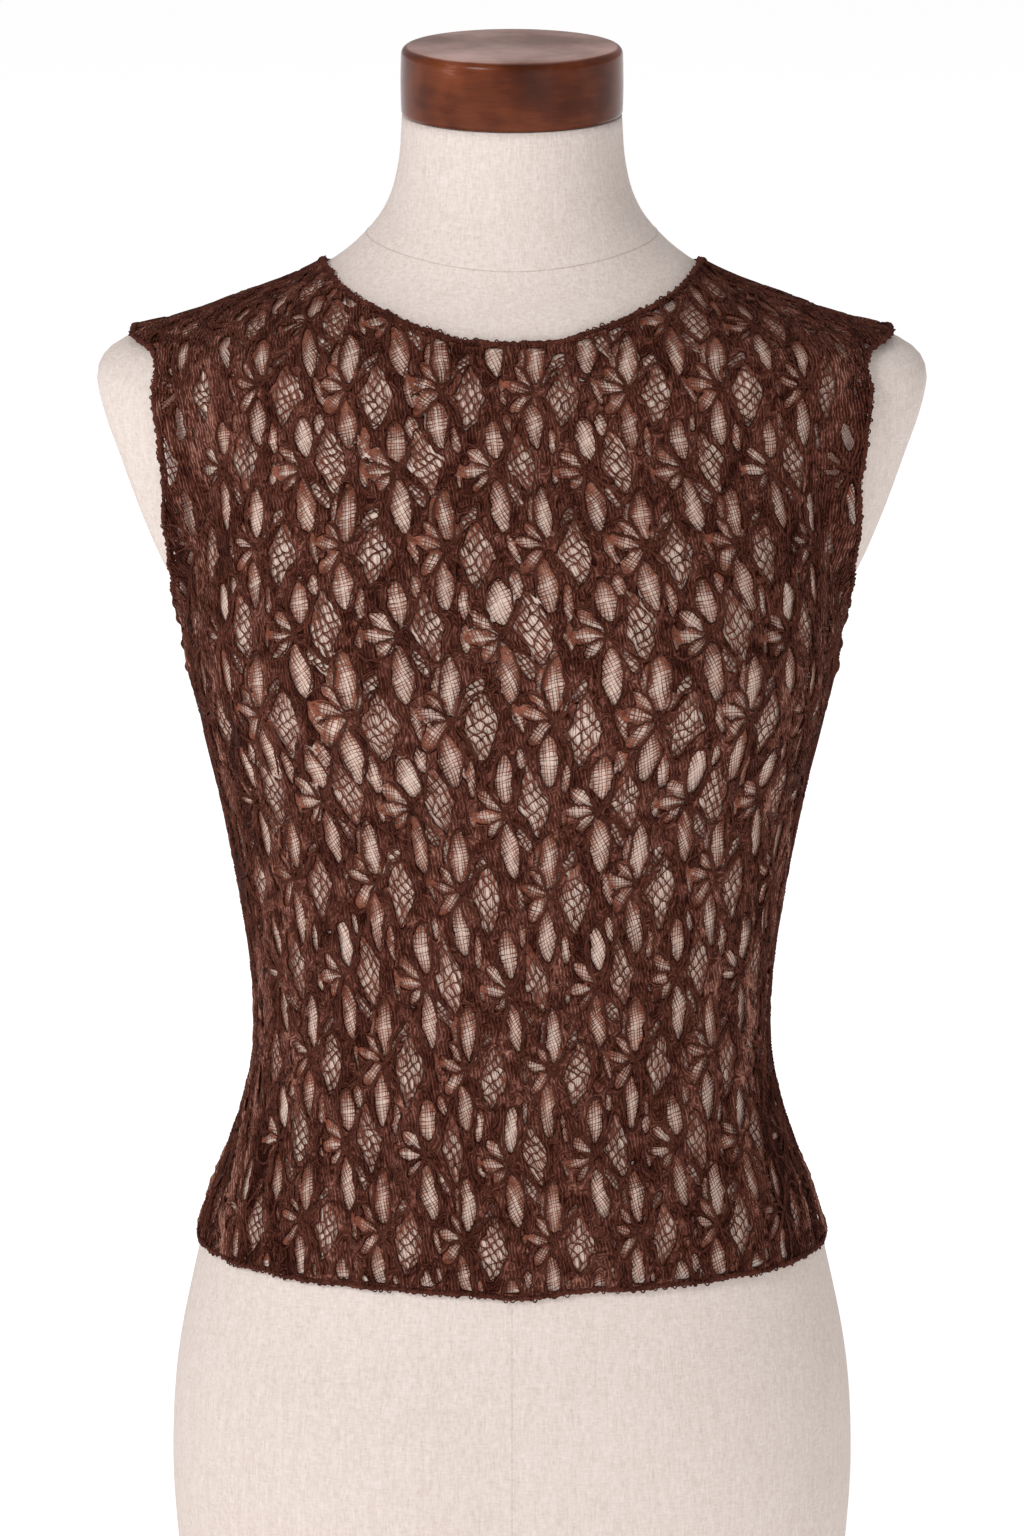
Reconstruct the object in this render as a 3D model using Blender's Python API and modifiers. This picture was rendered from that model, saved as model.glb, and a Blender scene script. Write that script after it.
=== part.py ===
"""Stretch-lace tank top worn on a limbless dress form, in metres, +Z up, front towards -Y.

The form is a loft of level sections and stands on its flat base at the origin.  The top is cut
flat, as a front and a back with one eyelet in each repeat of the lace, and each piece is then
wrapped on the form and given the cloth's thickness.  Four edgings finish neck, armholes and hem.
"""
import math

import bpy
import numpy as np
from mathutils import Vector
from mathutils.geometry import delaunay_2d_cdt

MM = 0.001
NAME = "lace_tank_top_on_dress_form"

# Section table of the dress form, in millimetres, one row a height.
#   width: half width over the arm caps        chest: half width of the trunk alone
#   front, back: depth before and behind the shoulder line
#   cap: half depth of the arm cap             square: exponent of the superellipse
FORM_COLUMNS = ("height", "width", "chest", "front", "back", "cap", "square")
FORM_ROWS = (
    (0, 156.8, 156.8, 101, 110, 0, 2.30),
    (60, 160.6, 160.6, 104, 119, 0, 2.30),
    (110, 157.8, 157.8, 103, 121, 0, 2.30),
    (150, 150.2, 150.2, 99, 115, 0, 2.28),
    (180, 142.8, 142.8, 96, 106, 0, 2.25),
    (215, 130.0, 130.0, 92, 95, 0, 2.22),
    (245, 121.0, 121.0, 89, 87, 0, 2.20),
    (280, 118.0, 118.0, 86, 83, 0, 2.20),
    (310, 120.5, 120.5, 87, 84, 0, 2.20),
    (345, 126.0, 126.0, 91, 89, 0, 2.22),
    (380, 132.5, 132.5, 98, 95, 0, 2.25),
    (415, 140.3, 140.3, 107, 101, 0, 2.30),
    (445, 147.5, 147.0, 113, 105, 22, 2.35),
    (470, 151.2, 149.6, 115, 107, 27, 2.38),
    (483, 154.5, 149.6, 114, 107.5, 34, 2.40),
    (500, 162.5, 150.2, 111, 107.5, 42, 2.40),
    (517, 169.5, 151.4, 107, 107, 47.5, 2.38),
    (534, 176.0, 153.4, 102.5, 106, 50, 2.34),
    (551, 182.0, 157.5, 97, 105, 50.5, 2.30),
    (562, 186.0, 161.0, 93.5, 103.5, 49.5, 2.27),
    (573, 189.0, 165.5, 90, 101.5, 47, 2.23),
    (580, 189.9, 169.0, 87.5, 100, 44, 2.20),
    (585, 189.6, 171.6, 85.8, 98.7, 41, 2.18),
    (590, 187.2, 172.8, 84, 97, 37, 2.15),
    (595, 181.8, 171.0, 82, 95, 32, 2.12),
    (600, 172.0, 165.0, 79.6, 92.5, 27, 2.10),
    (604.4, 155.5, 151.5, 76.6, 89.5, 22, 2.08),
    (611.6, 132.8, 132.8, 72.8, 85, 0, 2.05),
    (619.4, 111.0, 111.0, 68.6, 79.6, 0, 2.02),
    (627.4, 93.5, 93.5, 64.2, 74, 0, 2.0),
    (633.8, 83.0, 83.0, 61, 69.6, 0, 2.0),
    (639.8, 75.0, 75.0, 58.8, 66.4, 0, 2.0),
    (647, 67.6, 67.6, 56.8, 62.8, 0, 2.0),
    (655, 61.0, 61.0, 54.6, 58.6, 0, 2.0),
    (665, 55.8, 55.8, 52.6, 54.8, 0, 2.0),
    (680, 52.0, 52.0, 51.0, 51.8, 0, 2.0),
    (702.2, 50.2, 50.2, 50.2, 50.2, 0, 2.0),
)

# Mesh of the form: heights of its rings, and points in a quarter of each, crowded at the sides.
FORM_RING_HEIGHTS = (
    0, 3, 50, 105, 160, 187, 214, 240, 265, 290, 317, 345, 375, 403, 428, 450, 466, 476,
    484, 491, 498, 506, 516, 528, 541, 555, 567, 576, 582, 587, 592, 597, 603, 610, 617, 624,
    631, 639, 647, 656, 670, 702.2,
)
FORM_QUARTER_POINTS = 13
FORM_CROWDING = 1.35
BASE_ROUNDING = 3.0

# Arm caps: exponent of their section, and how far round they melt into the trunk.
CAP_SQUARE = 3.4
CAP_BLEND_LOW = 8.0
CAP_BLEND_HIGH = 28.0
CAP_PROUD = 6.0

# The two soft swells of the bust: angle from straight ahead, height, rise and spread.
BUST_ANGLE = math.radians(36)
BUST_ANGLE_SPREAD = math.radians(24)
BUST_HEIGHT = 448.0
BUST_HEIGHT_SPREAD = 42.0
BUST_RISE = 12.0

# Wooden neck cap.
NECK_CAP_RADIUS = 50.6
NECK_CAP_BOTTOM = 702.5
NECK_CAP_TOP = 734.0
NECK_CAP_ROUNDING = 3.6
NECK_CAP_STEPS = 36

# Cloth.
CLOTH_CLEARANCE = 1.5
CLOTH_THICKNESS = 1.2
CLOTH_BRIDGE = 1.8
CLOTH_MIDDLE = CLOTH_CLEARANCE + CLOTH_THICKNESS / 2
SEAM_GAP = 0.3
EDGING_RADIUS = 1.2
EDGING_GAP = 0.4

# Outline of the top on the form: heights in mm, angles in degrees from the side.
HEM_HEIGHT = 168.0
HEM_RISE = 3.0
HEM_DIP_WIDTH = 0.3
HEM_POINTS = 72
NECKLINE_COLUMNS = ("angle", "height")
NECKLINE_ROWS = (
    (-90, 609.8),
    (-72, 611.2),
    (-60, 615.0),
    (-50, 618.8),
    (-38, 623.4),
    (-25, 628.0),
    (-12, 631.8),
    (0, 632.4),
    (12, 629.6),
    (25, 624.6),
    (38, 620.2),
    (52, 617.2),
    (68, 615.2),
    (90, 614.4),
)
NECKLINE_POINTS = 64
ARMHOLE_TOP = 600.5
ARMHOLE_MIDDLE = 550.0
ARMHOLE_BOTTOM = 474.0
ARMHOLE_FRONT_DEPTH = 45.5
ARMHOLE_BACK_DEPTH = 42.0
ARMHOLE_TOP_POWER = 2.9
ARMHOLE_BOTTOM_POWER = 1.8
ARMHOLE_POINTS = 48
SEAM_POINTS = 22
SHOULDER_POINTS = 6

# Small steps used to follow lines on the form.
FINE_POINTS = 360
MOVING_STEPS = 6
MOVING_TURN = 1e-3
MOVING_RISE = 0.25

# Lace repeats.  Hubs stand on rows; every other row is moved by half a repeat and turned over.
#   run: distance up the cloth from the height where the chest is measured
#   repeat: width of one repeat        lean: where the middle hub stands
#   dip: how far a row sinks for each unit that the form turns away
LACE_START_HEIGHT = 520.0
LACE_COLUMNS = ("row", "run", "repeat", "lean", "dip")
LACE_ROWS = (
    (-1, 146.0, 42.0, -12.5, 0.20),
    (0, 110.0, 42.0, -11.7, 0.20),
    (1, 74.0, 42.0, -10.7, 0.20),
    (2, 38.2, 43.3, -9.2, 0.20),
    (3, 3.1, 45.2, -7.3, 0.20),
    (4, -36.4, 47.1, -5.0, 0.21),
    (5, -75.1, 46.7, -4.4, 0.22),
    (6, -121.9, 41.8, -3.7, 0.23),
    (7, -164.6, 39.9, -3.1, 0.23),
    (8, -212.1, 38.9, -1.1, 0.23),
    (9, -251.6, 38.7, -1.1, 0.23),
    (10, -293.8, 38.7, -1.0, 0.23),
    (11, -332.1, 39.7, -0.4, 0.23),
    (12, -372.0, 39.7, 0.0, 0.23),
)
LACE_COLUMNS_A_SIDE = 6

# One eyelet in each repeat: its middle, in parts of a repeat and of a row, and its corners in mm.
EYELET_MIDDLE = (0.31, 0.12)
EYELET_CORNERS = ((0.9, 4.2), (-2.7, 0.5), (-0.9, -4.2), (2.7, -0.5))
EYELET_REACH = 4.4
EYELET_MARGIN = 3.6

# Points of a panel's mesh: bands of lace rows, with points up each row and across each repeat.
MESH_BANDS = ((-1, 0.5, 2, 3), (0.5, 1.5, 4, 4), (1.5, 12, 2, 3))
MESH_MARGIN = 6.0
MESH_CLEAR_OF_EYELET = 8.5

# Tables that unroll the form: spacing in mm, and how far they reach.
STEP = 2.0
UNROLL_LOW = 150.0
UNROLL_HIGH = 680.0
UNROLL_ACROSS = 260.0
UNROLL_TURNS = 261
UNROLL_PAST_SEAM = 1.3


def smooth(x, xs, ys):
    """Value at x of a smooth curve through the points (xs, ys)."""
    xs = np.asarray(xs, float)
    ys = np.asarray(ys, float)
    slopes = np.gradient(ys, xs)
    x = np.clip(x, xs[0], xs[-1])
    i = np.clip(np.searchsorted(xs, x, side="right") - 1, 0, len(xs) - 2)
    width = xs[i + 1] - xs[i]
    t = (x - xs[i]) / width
    return (
        ys[i] * (1 + 2 * t) * (1 - t) ** 2
        + slopes[i] * width * t * (1 - t) ** 2
        + ys[i + 1] * t * t * (3 - 2 * t)
        + slopes[i + 1] * width * t * t * (t - 1)
    )


def column(rows, columns, name):
    """One named column of a table."""
    return [row[columns.index(name)] for row in rows]


def form_value(name, height):
    """A column of the form's section table, at any height."""
    heights = column(FORM_ROWS, FORM_COLUMNS, "height")
    return smooth(height, heights, column(FORM_ROWS, FORM_COLUMNS, name))


def form_radius(angle, height, bridge=1.0):
    """Distance from the form's axis to its surface; angle 0 is +X and -90 degrees is the front.

    A bridge over 1 fills more of the hollow beside the arm caps.
    """
    cosine = np.abs(np.cos(angle))
    sine = np.sin(angle)
    depth = np.where(sine < 0, form_value("front", height), form_value("back", height))
    square = form_value("square", height)
    chest = form_value("chest", height)
    trunk = ((cosine / chest) ** square + (np.abs(sine) / depth) ** square) ** (-1 / square)
    cap_depth = np.maximum(form_value("cap", height), 1.0)
    width = form_value("width", height)
    arm = (cosine / width) ** CAP_SQUARE + (np.abs(sine) / cap_depth) ** CAP_SQUARE
    arm = arm ** (-1 / CAP_SQUARE)
    proud = width - chest
    blend = np.clip(CAP_BLEND_LOW + proud, CAP_BLEND_LOW, CAP_BLEND_HIGH)
    apart = np.clip(np.abs(trunk - arm) / blend, 0, 1)
    rounding = np.clip(proud / CAP_PROUD, 0, 1) * blend / 4
    radius = np.maximum(trunk, arm) + (1 - apart) ** 2 * rounding
    radius += (1 - apart**2) ** 2 * rounding * (bridge - 1)
    ahead = np.abs(np.arctan2(np.cos(angle), -sine))
    swell = np.exp(-(((ahead - BUST_ANGLE) / BUST_ANGLE_SPREAD) ** 2))
    return radius + BUST_RISE * swell * np.exp(-(((height - BUST_HEIGHT) / BUST_HEIGHT_SPREAD) ** 2))


def form_point(angle, height, bridge=1.0):
    """Points on the form's surface, in millimetres."""
    angle, height = np.broadcast_arrays(np.asarray(angle, float), np.asarray(height, float))
    radius = form_radius(angle, height, bridge)
    return np.stack([radius * np.cos(angle), radius * np.sin(angle), height], axis=-1)


def under_cloth(angle, height):
    """Points that the cloth lies over: the form, with the hollows that the cloth spans filled."""
    return form_point(angle, height, CLOTH_BRIDGE)


def cloth_normal(angle, height):
    """Outward unit normals of the cloth."""
    turn = 1e-3
    rise = 0.25
    around = under_cloth(angle + turn, height) - under_cloth(angle - turn, height)
    along = under_cloth(angle, height + rise) - under_cloth(angle, height - rise)
    normal = np.cross(around, along)
    return normal / np.linalg.norm(normal, axis=-1, keepdims=True)


def in_cloth(angle, height, distance):
    """Points of the cloth a given distance off the form."""
    return under_cloth(angle, height) + cloth_normal(angle, height) * distance


def lace_value(name, row):
    """A column of the lace table, at any row number, whole or not."""
    rows = column(LACE_ROWS, LACE_COLUMNS, "row")
    return smooth(row, rows, column(LACE_ROWS, LACE_COLUMNS, name))


def between(table, x, y):
    """Value of a table at fractional places x along its first axis and y along its second."""
    x = np.clip(x, 0, table.shape[0] - 1.001)
    y = np.clip(y, 0, table.shape[1] - 1.001)
    i = x.astype(int)
    j = y.astype(int)
    u = x - i
    v = y - j
    low = table[i, j] * (1 - v) + table[i, j + 1] * v
    high = table[i + 1, j] * (1 - v) + table[i + 1, j + 1] * v
    return low * (1 - u) + high * u


class Unrolled:
    """The front (side -1) or back (side +1) of the form laid flat.

    A place on it is a distance across from the middle line and a run up the cloth, both in mm.
    A turn of 0 is the middle line and a turn of 1 is the seam under the arm or on the shoulder.
    """

    def __init__(self, side):
        self.side = side
        self.heights = np.arange(UNROLL_LOW, UNROLL_HIGH, STEP)
        turns = np.linspace(0, UNROLL_PAST_SEAM, UNROLL_TURNS)
        points = under_cloth(self.angle(turns)[None, :], self.heights[:, None])
        steps = np.linalg.norm(np.diff(points, axis=1), axis=2)
        self.across = np.concatenate([np.zeros((len(points), 1)), np.cumsum(steps, axis=1)], axis=1)
        self.turn_step = turns[1]
        places = np.arange(0, UNROLL_ACROSS, STEP)
        self.turns = np.array([np.interp(places, arc, turns) for arc in self.across])
        points = under_cloth(self.angle(self.turns), self.heights[:, None])
        steps = np.linalg.norm(np.diff(points, axis=0), axis=2)
        run = np.concatenate([np.zeros((1, len(places))), np.cumsum(steps, axis=0)], axis=0)
        run -= run[int((LACE_START_HEIGHT - UNROLL_LOW) / STEP)]
        rows = column(LACE_ROWS, LACE_COLUMNS, "row")[::-1]
        middle_row = np.interp(run[:, 0], lace_value("run", rows), rows)
        dip = lace_value("dip", middle_row)
        behind = np.abs(points[:, :, 1] - points[:, :1, 1])
        self.run = run + dip[:, None] * behind
        self.lowest_run = self.run.min()
        runs = np.arange(self.lowest_run, self.run.max(), STEP)
        self.height_at = np.array(
            [np.interp(runs, self.run[:, k], self.heights) for k in range(len(places))]
        )

    def angle(self, turn):
        """Angle about the form's axis at a turn."""
        return self.side * (math.pi / 2) * (1 - turn)

    def flat(self, turn, height):
        """Distance across and run up the cloth at a turn and height."""
        h = (np.asarray(height, float) - UNROLL_LOW) / STEP
        across = between(self.across, h, np.asarray(turn, float) / self.turn_step)
        return across, between(self.run, h, across / STEP)

    def worn(self, across, run):
        """Turn and height of a place on the laid-out cloth, right half."""
        k = np.asarray(across, float) / STEP
        height = between(self.height_at, k, (np.asarray(run, float) - self.lowest_run) / STEP)
        return between(self.turns, (height - UNROLL_LOW) / STEP, k), height


def hemline(angle):
    """Height of the hem at an angle about the form's axis; it dips at the middle of each side."""
    return HEM_HEIGHT + HEM_RISE * (1 - np.exp(-((np.cos(angle) / HEM_DIP_WIDTH) ** 2)))


def neckline(angle):
    """Height of the neckline at an angle about the form's axis."""
    folded = np.degrees(np.arctan2(np.sin(angle), np.abs(np.cos(angle))))
    angles = column(NECKLINE_ROWS, NECKLINE_COLUMNS, "angle")
    return smooth(folded, angles, column(NECKLINE_ROWS, NECKLINE_COLUMNS, "height"))


def armhole(spin):
    """Angle and height of the right armhole's edge; spin 0 is its top and pi its bottom."""
    sine = np.sin(spin)
    cosine = np.cos(spin)
    power = np.where(cosine > 0, ARMHOLE_TOP_POWER, ARMHOLE_BOTTOM_POWER)
    reach = np.where(cosine > 0, ARMHOLE_TOP - ARMHOLE_MIDDLE, ARMHOLE_MIDDLE - ARMHOLE_BOTTOM)
    depth = np.where(sine < 0, ARMHOLE_FRONT_DEPTH, ARMHOLE_BACK_DEPTH)
    y = depth * np.sign(sine) * np.abs(sine) ** (2 / power)
    height = ARMHOLE_MIDDLE + reach * np.sign(cosine) * np.abs(cosine) ** (2 / power)
    low = np.full_like(y, -1.0)
    high = np.full_like(y, 1.0)
    for _ in range(40):
        angle = (low + high) / 2
        short = form_radius(angle, height, CLOTH_BRIDGE) * np.sin(angle) < y
        low = np.where(short, angle, low)
        high = np.where(short, high, angle)
    return angle, height


def material(name, colour, roughness, metallic=0.0):
    """A plain material of one colour."""
    plain = bpy.data.materials.new(name)
    plain.use_nodes = True
    shader = plain.node_tree.nodes["Principled BSDF"]
    shader.inputs["Base Color"].default_value = (*colour, 1.0)
    shader.inputs["Roughness"].default_value = roughness
    shader.inputs["Metallic"].default_value = metallic
    return plain


def add_object(name, data, finish, parts):
    """Put a mesh or curve into the collection, with its material."""
    item = bpy.data.objects.new(name, data)
    data.materials.append(finish)
    parts.objects.link(item)
    return item


def mesh_from(name, points, faces):
    """A smooth-shaded mesh from points in millimetres."""
    mesh = bpy.data.meshes.new(name)
    mesh.from_pydata([tuple(point) for point in np.asarray(points) * MM], [], faces)
    mesh.update()
    mesh.shade_smooth()
    return mesh


def ring_angles(height):
    """Angles of the form's points at a height, closest together at the sides."""
    shares = (np.arange(FORM_QUARTER_POINTS) / FORM_QUARTER_POINTS) ** FORM_CROWDING
    angles = []
    for start, end in ((0, 90), (180, 90), (180, 270), (360, 270)):
        fine = np.radians(np.linspace(start, end, FINE_POINTS))
        points = form_point(fine, np.full_like(fine, height))
        arc = np.concatenate([[0], np.cumsum(np.linalg.norm(np.diff(points, axis=0), axis=1))])
        quarter = np.interp(shares * arc[-1], arc, fine)
        middle = [math.radians(end)]
        angles.append(quarter if start < end else np.concatenate([middle, quarter[:0:-1]]))
    return np.concatenate(angles)


def add_dress_form(parts):
    """Loft of level sections, closed by the base and the top of the neck."""
    rings = []
    for height in FORM_RING_HEIGHTS:
        angles = ring_angles(max(height, BASE_ROUNDING))
        ring = form_point(angles, np.full_like(angles, height))
        if height == 0:
            radii = np.linalg.norm(ring[:, :2], axis=1, keepdims=True)
            ring[:, :2] *= (radii - BASE_ROUNDING) / radii
        rings.append(ring)
    n = 4 * FORM_QUARTER_POINTS
    faces = [tuple(reversed(range(n)))]
    for k in range(len(rings) - 1):
        for i in range(n):
            j = (i + 1) % n
            faces.append((k * n + i, k * n + j, (k + 1) * n + j, (k + 1) * n + i))
    faces.append(tuple((len(rings) - 1) * n + i for i in range(n)))
    linen = material("linen", (0.76, 0.69, 0.62), 0.9)
    add_object("dress_form", mesh_from("dress_form", np.concatenate(rings), faces), linen, parts)


def add_neck_cap(parts):
    """Turned wooden cap with rounded rims."""
    corner = [math.radians(a) for a in (90, 60, 30, 0)]
    r = NECK_CAP_ROUNDING
    inner = NECK_CAP_RADIUS - r
    profile = [(0.0, NECK_CAP_TOP)]
    profile += [(inner + r * math.cos(a), NECK_CAP_TOP - r + r * math.sin(a)) for a in corner]
    r *= 0.4
    inner = NECK_CAP_RADIUS - r
    rim = reversed(corner)
    profile += [(inner + r * math.cos(a), NECK_CAP_BOTTOM + r - r * math.sin(a)) for a in rim]
    profile.append((0.0, NECK_CAP_BOTTOM))
    mesh = bpy.data.meshes.new("neck_cap")
    edges = [(i, i + 1) for i in range(len(profile) - 1)]
    mesh.from_pydata([(x * MM, 0, z * MM) for x, z in profile], edges, [])
    walnut = material("dark wood", (0.13, 0.035, 0.018), 0.35)
    cap = add_object("neck_cap", mesh, walnut, parts)
    turn = cap.modifiers.new("Turn", "SCREW")
    turn.steps = NECK_CAP_STEPS
    turn.render_steps = NECK_CAP_STEPS
    turn.use_merge_vertices = True
    turn.merge_threshold = 0.0001
    turn.use_normal_calculate = False


def evenly(angle, height, count):
    """A line on the form redrawn with evenly spaced points."""
    points = under_cloth(angle, height)
    arc = np.concatenate([[0], np.cumsum(np.linalg.norm(np.diff(points, axis=0), axis=1))])
    places = np.linspace(0, arc[-1], count)
    return np.interp(places, arc, angle), np.interp(places, arc, height)


def seam_angle(height):
    """Angle at which a panel stops short of the seam plane."""
    return SEAM_GAP / 2 / form_value("width", height)


def inside(points, outline):
    """Which points lie inside a closed outline."""
    x = points[:, :1]
    y = points[:, 1:]
    x0, y0 = outline.T
    x1, y1 = np.roll(outline, -1, axis=0).T
    rise = np.where(y1 == y0, 1e-9, y1 - y0)
    crosses = ((y0 > y) != (y1 > y)) & (x < x0 + (y - y0) * (x1 - x0) / rise)
    return crosses.sum(axis=1) % 2 == 1


def distance_to(points, outline):
    """Distance of each point from the nearest stretch of a closed outline."""
    start = outline[None, :, :]
    step = np.roll(outline, -1, axis=0)[None, :, :] - start
    reach = points[:, None, :] - start
    t = np.clip((reach * step).sum(axis=2) / np.maximum((step**2).sum(axis=2), 1e-9), 0, 1)
    return np.linalg.norm(reach - step * t[:, :, None], axis=2).min(axis=1)


def moved_in(angle, height, inset):
    """A closed line in the cloth moved sideways within the cloth, by the inset in mm."""
    points = in_cloth(angle, height, CLOTH_MIDDLE)
    around = (in_cloth(angle + MOVING_TURN, height, CLOTH_MIDDLE) - points) / MOVING_TURN
    up = (in_cloth(angle, height + MOVING_RISE, CLOTH_MIDDLE) - points) / MOVING_RISE
    along = np.roll(points, -1, axis=0) - np.roll(points, 1, axis=0)
    sideways = np.cross(along, cloth_normal(angle, height))
    sideways *= inset / np.linalg.norm(sideways, axis=1, keepdims=True)
    skew = (around * up).sum(axis=1)
    scale = (around**2).sum(axis=1) * (up**2).sum(axis=1) - skew**2
    turned = (sideways * around).sum(axis=1) * (up**2).sum(axis=1)
    turned = (turned - (sideways * up).sum(axis=1) * skew) / scale
    raised = (sideways * up).sum(axis=1) * (around**2).sum(axis=1)
    raised = (raised - (sideways * around).sum(axis=1) * skew) / scale
    for _ in range(MOVING_STEPS):
        moved = in_cloth(angle + turned, height + raised, CLOTH_MIDDLE)
        share = np.clip(abs(inset) / distance_to(moved, points), 0.7, 1.4)
        turned = turned * share
        raised = raised * share
    return angle + turned, height + raised


def armhole_line():
    """Closed line of the right armhole: up the front from the lowest point, then down the back."""
    angles = []
    heights = []
    for start in (-math.pi, 0.0):
        spin = np.linspace(start, start + math.pi, FINE_POINTS)
        angle, height = evenly(*armhole(spin), ARMHOLE_POINTS // 2 + 1)
        angles.append(angle[:-1])
        heights.append(height[:-1])
    return np.concatenate(angles), np.concatenate(heights)


def neck_line():
    """Closed line of the neckline, counterclockwise from the right shoulder."""
    angles = np.linspace(0, 2 * math.pi, NECKLINE_POINTS + 1)[:-1]
    return angles, neckline(angles)


def cut_armhole(side):
    """Edge of a panel along the right armhole, from the side seam up to the shoulder."""
    angle, height = moved_in(*armhole_line(), -EDGING_RADIUS - EDGING_GAP)
    places = -side * np.arange(ARMHOLE_POINTS // 2 + 1)
    angle = angle[places]
    height = height[places]
    angle[[0, -1]] = side * seam_angle(height[[0, -1]])
    return angle, height


def cut_neckline(side):
    """Edge of a panel along the neck, from the right shoulder to the middle."""
    angle, height = moved_in(*neck_line(), EDGING_RADIUS + EDGING_GAP)
    places = side * np.arange(NECKLINE_POINTS // 4 + 1)
    angle = np.arctan2(np.sin(angle[places]), np.cos(angle[places]))
    height = height[places]
    angle[0] = side * seam_angle(height[0])
    angle[-1] = side * math.pi / 2
    return angle, height


def half_outline(side):
    """Right half of a panel's edge as angles and heights, from the hem's middle to the neck's."""
    hem_angle = side * np.linspace(math.pi / 2, seam_angle(HEM_HEIGHT), HEM_POINTS // 4 + 1)
    hem_height = hemline(hem_angle) + EDGING_RADIUS + EDGING_GAP
    arm_angle, arm_height = cut_armhole(side)
    neck_angle, neck_height = cut_neckline(side)
    side_seam = np.linspace(hem_height[-1], arm_height[0], SEAM_POINTS)[1:-1]
    shoulder_seam = np.linspace(arm_height[-1], neck_height[0], SHOULDER_POINTS)[1:-1]
    pieces = (
        (hem_angle, hem_height),
        (side * seam_angle(side_seam), side_seam),
        (arm_angle, arm_height),
        (side * seam_angle(shoulder_seam), shoulder_seam),
        (neck_angle, neck_height),
    )
    return np.concatenate([p[0] for p in pieces]), np.concatenate([p[1] for p in pieces])


def lace_places(columns, rows):
    """Laid-out places of points given in columns and rows of the lace."""
    columns, rows = np.broadcast_arrays(np.asarray(columns, float), np.asarray(rows, float))
    across = columns * lace_value("repeat", rows) + lace_value("lean", rows)
    return np.stack([across, lace_value("run", rows)], axis=-1)


def eyelets(outline):
    """Corner points of one eyelet in each repeat that lies whole inside the outline."""
    middles = []
    turned = []
    for row in range(LACE_ROWS[0][0], LACE_ROWS[-1][0]):
        odd = row % 2
        columns = np.arange(-LACE_COLUMNS_A_SIDE, LACE_COLUMNS_A_SIDE + 1) + odd / 2
        down = EYELET_MIDDLE[1] * (1 - 2 * odd)
        middles.append(lace_places(columns + EYELET_MIDDLE[0], row + down))
        turned += [odd] * len(columns)
    middles = np.concatenate(middles)
    turned = np.array(turned)
    clear = inside(middles, outline)
    clear &= distance_to(middles, outline) > EYELET_REACH + EYELET_MARGIN
    corners = np.array(EYELET_CORNERS)
    flipped = corners * (1, -1)
    return [
        middle + (flipped if odd else corners)
        for middle, odd in zip(middles[clear], turned[clear])
    ]


def mesh_points(outline, holes):
    """Points inside a panel, spread with the lace and clear of its edge and eyelets."""
    points = []
    for first, last, up, across in MESH_BANDS:
        for step in range(round((last - first) * up)):
            count = LACE_COLUMNS_A_SIDE * across
            columns = (np.arange(-count, count + 1) + (step % 2) / 2) / across
            points.append(lace_places(columns, first + step / up))
    points = np.concatenate(points)
    points = points[inside(points, outline)]
    points = points[distance_to(points, outline) > MESH_MARGIN]
    middles = np.array([hole.mean(axis=0) for hole in holes])
    apart = np.linalg.norm(points[:, None, :] - middles[None, :, :], axis=2).min(axis=1)
    return points[apart > MESH_CLEAR_OF_EYELET]


def add_panel(name, side, finish, parts):
    """Front or back: cut flat with its eyelets, wrapped on the form, given thickness."""
    flat = Unrolled(side)
    angles, heights = half_outline(side)
    across, run = flat.flat(1 - np.abs(angles) / (math.pi / 2), heights)
    half = np.stack([across, run], axis=1)
    half[[0, -1], 0] = 0
    outline = np.concatenate([half, half[-2:0:-1] * (-1, 1)])
    holes = eyelets(outline)
    inner = mesh_points(outline, holes)
    places = np.concatenate([outline, *holes, inner])
    edges = [(i, (i + 1) % len(outline)) for i in range(len(outline))]
    hole_of = np.full(len(places), -1)
    for k in range(len(holes)):
        first = len(outline) + k * len(EYELET_CORNERS)
        hole_of[first : first + len(EYELET_CORNERS)] = k
        ring = range(first, first + len(EYELET_CORNERS))
        edges += [(i, first + (i - first + 1) % len(EYELET_CORNERS)) for i in ring]
    flat_points = [Vector(place) for place in places]
    found, _, faces, sources, _, _ = delaunay_2d_cdt(flat_points, edges, [], 1, 1e-5)
    source = np.array([indices[0] for indices in sources])
    faces = [tuple(face) for face in faces]
    owners = [{hole_of[source[i]] for i in face} for face in faces]
    faces = [face for face, own in zip(faces, owners) if len(own) > 1 or own == {-1}]

    turn, height = flat.worn(np.abs(places[:, 0]), places[:, 1])
    angle = flat.angle(turn)
    count = len(outline)
    angle[:count] = np.concatenate([angles, angles[-2:0:-1]])
    height[:count] = np.concatenate([heights, heights[-2:0:-1]])
    points = in_cloth(angle, height, CLOTH_CLEARANCE)
    points[:, 0] *= -side * np.where(places[:, 0] < 0, -1, 1)
    panel = add_object(name, mesh_from(name, points[source], faces), finish, parts)
    thickness = panel.modifiers.new("Thickness", "SOLIDIFY")
    thickness.thickness = CLOTH_THICKNESS * MM
    thickness.offset = 1.0
    thickness.use_even_offset = True


def add_edging(name, angles, heights, mirror, finish, parts):
    """A closed round cord that runs along an edge of the cloth."""
    points = in_cloth(angles, heights, CLOTH_MIDDLE) * (mirror, 1, 1)
    curve = bpy.data.curves.new(name, "CURVE")
    curve.dimensions = "3D"
    curve.bevel_depth = EDGING_RADIUS * MM
    curve.bevel_resolution = 1
    spline = curve.splines.new("POLY")
    spline.points.add(len(points) - 1)
    for point, place in zip(spline.points, points * MM):
        point.co = (*place, 1.0)
    spline.use_cyclic_u = True
    add_object(name, curve, finish, parts)


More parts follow.
